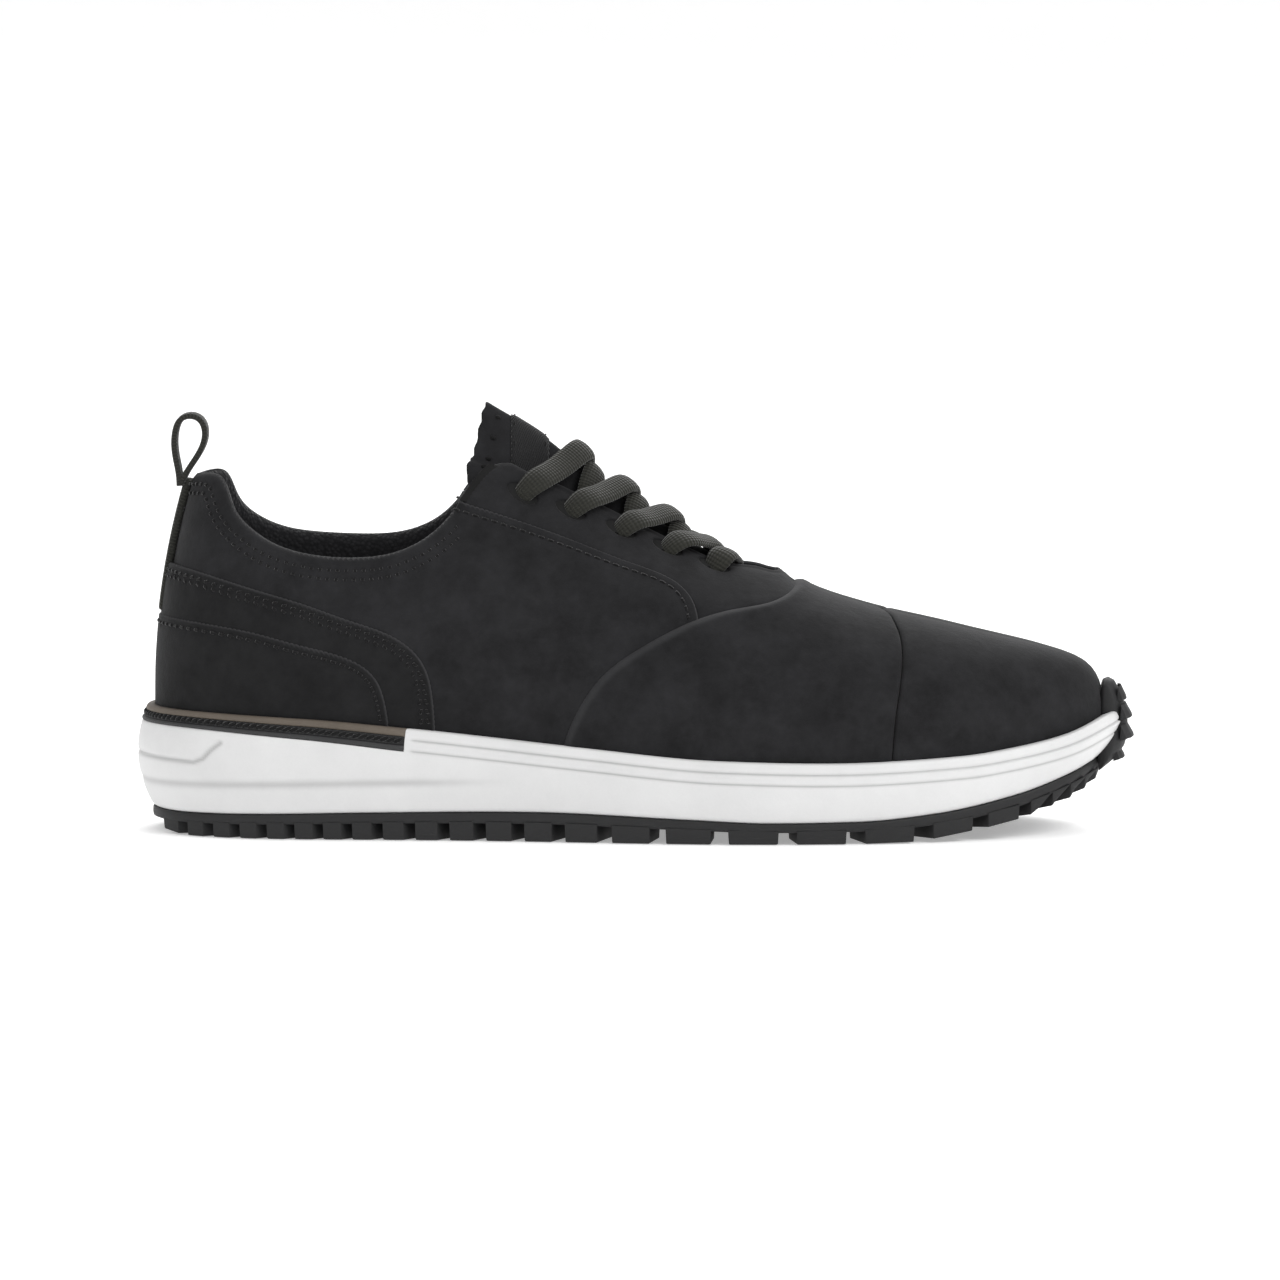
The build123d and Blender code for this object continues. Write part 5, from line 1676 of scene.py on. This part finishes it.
# near black: painted shade of the tongue's punched holes and of the eyelets' insides
hole_shade = rubber("painted_hole_shade", srgb(6, 6, 6), srgb(10, 10, 10), 0.9)
tongue_row("tongue_perforations", rim_x, rim_y, 0.75, 0.7, -0.12, hole_shade)
side_x = np.arange(-44, 30, 3.0)
for name, side in SIDES.items():
    tongue_row(f"tongue_side_stitches_{name}", side_x, side * (tongue_width(side_x) - 2.6), 1.1, 0.32, 0.05)
box_y = np.arange(-7.5, 7.6, 2.5)
tongue_row("label_stitches_rear", np.full(len(box_y), -35.9), box_y, 0.9, 0.2, 0.85)
tongue_row("label_stitches_front", np.full(len(box_y), -26.6), box_y, 0.9, 0.2, 0.85)

# ---------------------------------------------------------------- lace
LACE_HALF_WIDTH, LACE_HALF_THICK = 4.1, 1.15
LACE_BOWS = {LATERAL: [7.4, 6.8, 6.0, 5.0, 4.0], MEDIAL: [12.4, 11.0, 9.6, 8.4, 0]}
LACE_LEVELS = {LATERAL: [5.0, 4.9, 4.4, 2.9, 2.3], MEDIAL: [2.4, 2.4, 2.1, 1.3, 0]}


def strap_rings(points, ups, count=40, half_width=LACE_HALF_WIDTH, half_thick=LACE_HALF_THICK, pinch=0.74,
                twist=0.0):
    """A soft flat lace along a smooth line, narrowed where it goes through a hole."""
    path = respaced(spline(points, 0.4), 0.5)
    marks = lengths(np.array(points))
    reach = lengths(path)
    where = np.linspace(0, reach[-1], count)
    centre = between(where, reach, path)
    lean = between(where / reach[-1] * marks[-1], marks, ups)
    tangent = directions(centre)
    across = unit(np.cross(lean, tangent))
    up = np.cross(tangent, across)
    t = np.linspace(0, 2 * np.pi, 20, endpoint=False)
    cx = np.sign(np.cos(t)) * np.abs(np.cos(t)) ** 0.8
    cz = np.sign(np.sin(t)) * np.abs(np.sin(t)) ** 0.9
    rings = []
    for i, share in enumerate(where / reach[-1]):
        end = min(share, 1 - share)
        wide = half_width * (pinch + (1 - pinch) * fade(np.array(end), 0.02, 0.2))
        thick = half_thick * (1.35 - 0.35 * fade(np.array(end), 0.02, 0.2))
        turn_by = twist * math.sin(share * 5.1 + i * 0.02)
        side_dir = across[i] * math.cos(turn_by) + up[i] * math.sin(turn_by)
        up_dir = up[i] * math.cos(turn_by) - across[i] * math.sin(turn_by)
        crown = 0.35 * (1 - cx**2)
        raised = thick * cz + crown * (cz > 0)
        rings.append(centre[i] + side_dir * (wide * cx)[:, None] + up_dir * raised[:, None])
    run = np.repeat(where, len(t))
    sideways = np.tile(half_width * cx, count)
    return np.array(rings), run, sideways


def tucked(x, y, inset):
    """A point under the last's surface over a plan position, and its normal."""
    spot = surface_at(x, y)
    n = normals(spot[:, 0], spot[:, 1])[0]
    return base(spot[:, 0], spot[:, 1])[0] - n * inset, n


def lace_path(start, end, level, bow, side):
    """A taut run of lace: out of its eyelet, straight up to the ridge, and down under the far eyestay."""
    (x1, y1), (x2, y2) = start, end
    w1, w2 = float(throat_width(x1)), float(throat_width(x2))

    def x_at(y):
        share = (y1 - y) / (y1 - y2)
        return x1 + (x2 - x1) * share + bow * 4 * share * (1 - share)

    points, ups = [], []
    out_of_hole = ((y1 + side * 0.6, 4.4), (y1 - side * 0.4, 1.0), (y1 - side * 1.9, -1.5))
    for y, inset in (*out_of_hole, (side * (w1 + 0.6), -2.2)):
        p, n = tucked(x_at(y), y, inset)
        points.append(p)
        ups.append(n)
    x = x_at(0.0)
    top_up = tongue_up(np.array(x), np.array(0.0))
    top = tongue_spots(x, 0.0, 0.0) + top_up * level
    points.append((points[-1] + top) / 2 + (ups[-1] + top_up) * (0.35 if level > 3 else 0.1))
    ups.append(unit(ups[-1] + top_up))
    points.append(top)
    ups.append(top_up)
    under = [tucked(x_at(y), y, inset) for y, inset in ((-side * (w2 - 0.4), 2.9), (-side * (w2 + 3.0), 4.3))]
    points.append((top + under[0][0]) / 2 + (top_up + under[0][1]) * 0.5)
    ups.append(unit(top_up + under[0][1]))
    for p, n in under:
        points.append(p)
        ups.append(n)
    return points, ups


lace_verts, lace_faces, lace_run, lace_across = [], [], [], []


def add_strap(rings, run, sideways):
    """One more run of the lace."""
    v, f_list = tube(rings)
    first = len(lace_verts)
    lace_verts.extend(map(tuple, v))
    lace_faces.extend(tuple(i + first for i in f) for f in f_list)
    lace_run.extend(run)
    lace_across.extend(sideways)


for k in range(5):
    ahead = min(k + 1, 4)
    for side in (MEDIAL, LATERAL):
        if side == MEDIAL and ahead == k:
            continue
        start = (eyelet_x[k], EYELET_Y[side][k])
        end = (eyelet_x[ahead], EYELET_Y[-side][ahead])
        points, ups = lace_path(start, end, LACE_LEVELS[side][k], LACE_BOWS[side][k], side)
        add_strap(*strap_rings(points, ups, twist=0.09 * side))
for side in (LATERAL, MEDIAL):
    points, ups = [], []
    for dx, dy in ((0, -0.8), (0, 0), (1, 2.8), (3, 5.2), (5.5, 7)):
        p, n = tucked(eyelet_x[0] + dx, EYELET_Y[side][0] + side * dy, 4.65 if dy > 0.1 else 3.4)
        points.append(p)
        ups.append(n)
    add_strap(*strap_rings(points, ups, count=14, half_width=3.2, half_thick=0.5, pinch=0.9))
add_object("lace_straps", lace_verts, lace_faces, lace_cloth, nodes=["lace"],
           values={"run": lace_run, "across": lace_across})

# ---------------------------------------------------------------- pull loop
LOOP_HALF, LOOP_THICK = 5.2, 1.7
LOOP_MIDDLE = [
    (-136.7, 103.2), (-136.9, 106.5), (-137.5, 110.0), (-138.2, 114.6), (-137.9, 119.6), (-136.2, 123.2),
    (-133.3, 124.2), (-130.4, 123.0), (-129.0, 119.6), (-129.6, 115.6), (-131.7, 111.6), (-134.1, 108.0),
    (-135.6, 105.2), (-136.2, 103.4),
]
loop_line = respaced(spline(LOOP_MIDDLE, 0.4), 0.9)
tangent = directions(loop_line)
outward = np.column_stack((-tangent[:, 1], tangent[:, 0]))
upper = [(-0.97, 0.34), (-0.88, 0.5), (0.0, 0.52), (0.88, 0.5), (0.97, 0.34)]
profile = [(-1.0, 0.0), *upper, (1.0, 0.0), *((u, -v) for u, v in upper[::-1])]
rings, run, sideways = [], [], []
reach = lengths(loop_line)
for i, (x, z) in enumerate(loop_line):
    ring = []
    for across_by, out_by in profile:
        moved = outward[i] * LOOP_THICK * out_by
        ring.append((x + moved[0], LOOP_HALF * across_by, z + moved[1]))
        run.append(reach[i])
        sideways.append(LOOP_HALF * across_by)
    rings.append(ring)
verts, faces = tube(np.array(rings))
add_object("pull_loop_webbing", verts, faces, webbing, "loop_body", ["pull_loop"],
           {"run": run, "across": sideways})

# ---------------------------------------------------------------- CAD nodes kept as they are
KEPT = {
    "shank": grey_lip, "lasting_board": insole_cloth, "vamp_backing": lining_cloth, "toe_puff": lining_cloth,
    # the eyelet tapes take the near-black hole colour: painted shade seen through the eyelets
    "heel_counter": lining_cloth, "eyelet_tape_lateral": hole_shade, "eyelet_tape_medial": hole_shade,
    "aglet_lateral": aglet_plastic, "aglet_medial": aglet_plastic,
}
for node, material in KEPT.items():
    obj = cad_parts[node]
    obj.data.materials.clear()
    obj.data.materials.append(material)


# ---------------------------------------------------------------- floor, light and camera
FLOOR_BACK, FLOOR_BEND = 2.2, 1.5  # metres: where it begins to rise, and the bend's radius


def sweep_floor():
    """A pale floor which curves up behind."""
    verts = []
    profile = [(-6.0, 0.0), (FLOOR_BACK, 0.0)]
    for i in range(1, 25):
        turn_by = math.pi / 2 * i / 24
        y = FLOOR_BACK + FLOOR_BEND * math.sin(turn_by)
        profile.append((y, FLOOR_BEND - FLOOR_BEND * math.cos(turn_by)))
    profile.append((FLOOR_BACK + FLOOR_BEND, 8.0))
    for x in (-9.0, 9.0):
        verts += [(x, y, z - 0.0002) for y, z in profile]
    n = len(profile)
    faces = [(i, i + 1, n + i + 1, n + i) for i in range(n - 1)]
    mesh = bpy.data.meshes.new("floor")
    mesh.from_pydata(verts, [], faces)
    mesh.shade_smooth()
    floor = bpy.data.objects.new("floor", mesh)
    bpy.context.collection.objects.link(floor)
    look = Look("floor_paint", Roughness=0.7)
    look.colour(look.mix(look.noise(3, 2), (0.86, 0.86, 0.86), (0.89, 0.89, 0.89)))
    look.shader.inputs["Emission Color"].default_value = (1, 1, 1, 1)
    look.shader.inputs["Emission Strength"].default_value = 0.33
    mesh.materials.append(look.material)


def area_light(name, place, target, size, power):
    """A square soft light, aimed at a target."""
    light = bpy.data.lights.new(name, "AREA")
    light.shape, light.size, light.energy = "SQUARE", size, power
    obj = bpy.data.objects.new(name, light)
    obj.location = place
    obj.rotation_euler = (Vector(target) - Vector(place)).to_track_quat("-Z", "Y").to_euler()
    bpy.context.collection.objects.link(obj)


sweep_floor()
area_light("key", (1.2, -0.9, 1.5), (0.04, 0, 0.05), 1.1, 20)
area_light("fill", (-1.3, -1.4, 0.9), (0, 0, 0.05), 1.2, 7)
area_light("rim", (0.3, 1.4, 1.6), (0, 0, 0.05), 1.4, 24)
world = bpy.data.worlds.new("studio")
bpy.context.scene.world = world
world.use_nodes = True
world.node_tree.nodes["Background"].inputs["Color"].default_value = (1, 1, 1, 1)
world.node_tree.nodes["Background"].inputs["Strength"].default_value = 0.55
bpy.context.scene.view_settings.view_transform = "Standard"

CAMERA_RISE = math.radians(5)
CAMERA_AWAY = 2.2
FRAME_WIDTH = 0.3863  # of the view, at the shoe
camera = bpy.data.cameras.new("camera")
camera.sensor_width = 36
camera.lens = camera.sensor_width * CAMERA_AWAY / FRAME_WIDTH
camera_object = bpy.data.objects.new("camera", camera)
aim = Vector((0.0018, 0.0, 0.0563))
camera_object.location = aim + CAMERA_AWAY * Vector((0, -math.cos(CAMERA_RISE), math.sin(CAMERA_RISE)))
camera_object.rotation_euler = (math.pi / 2 - CAMERA_RISE, 0, 0)
bpy.context.collection.objects.link(camera_object)
bpy.context.scene.camera = camera_object

bpy.context.view_layer.update()
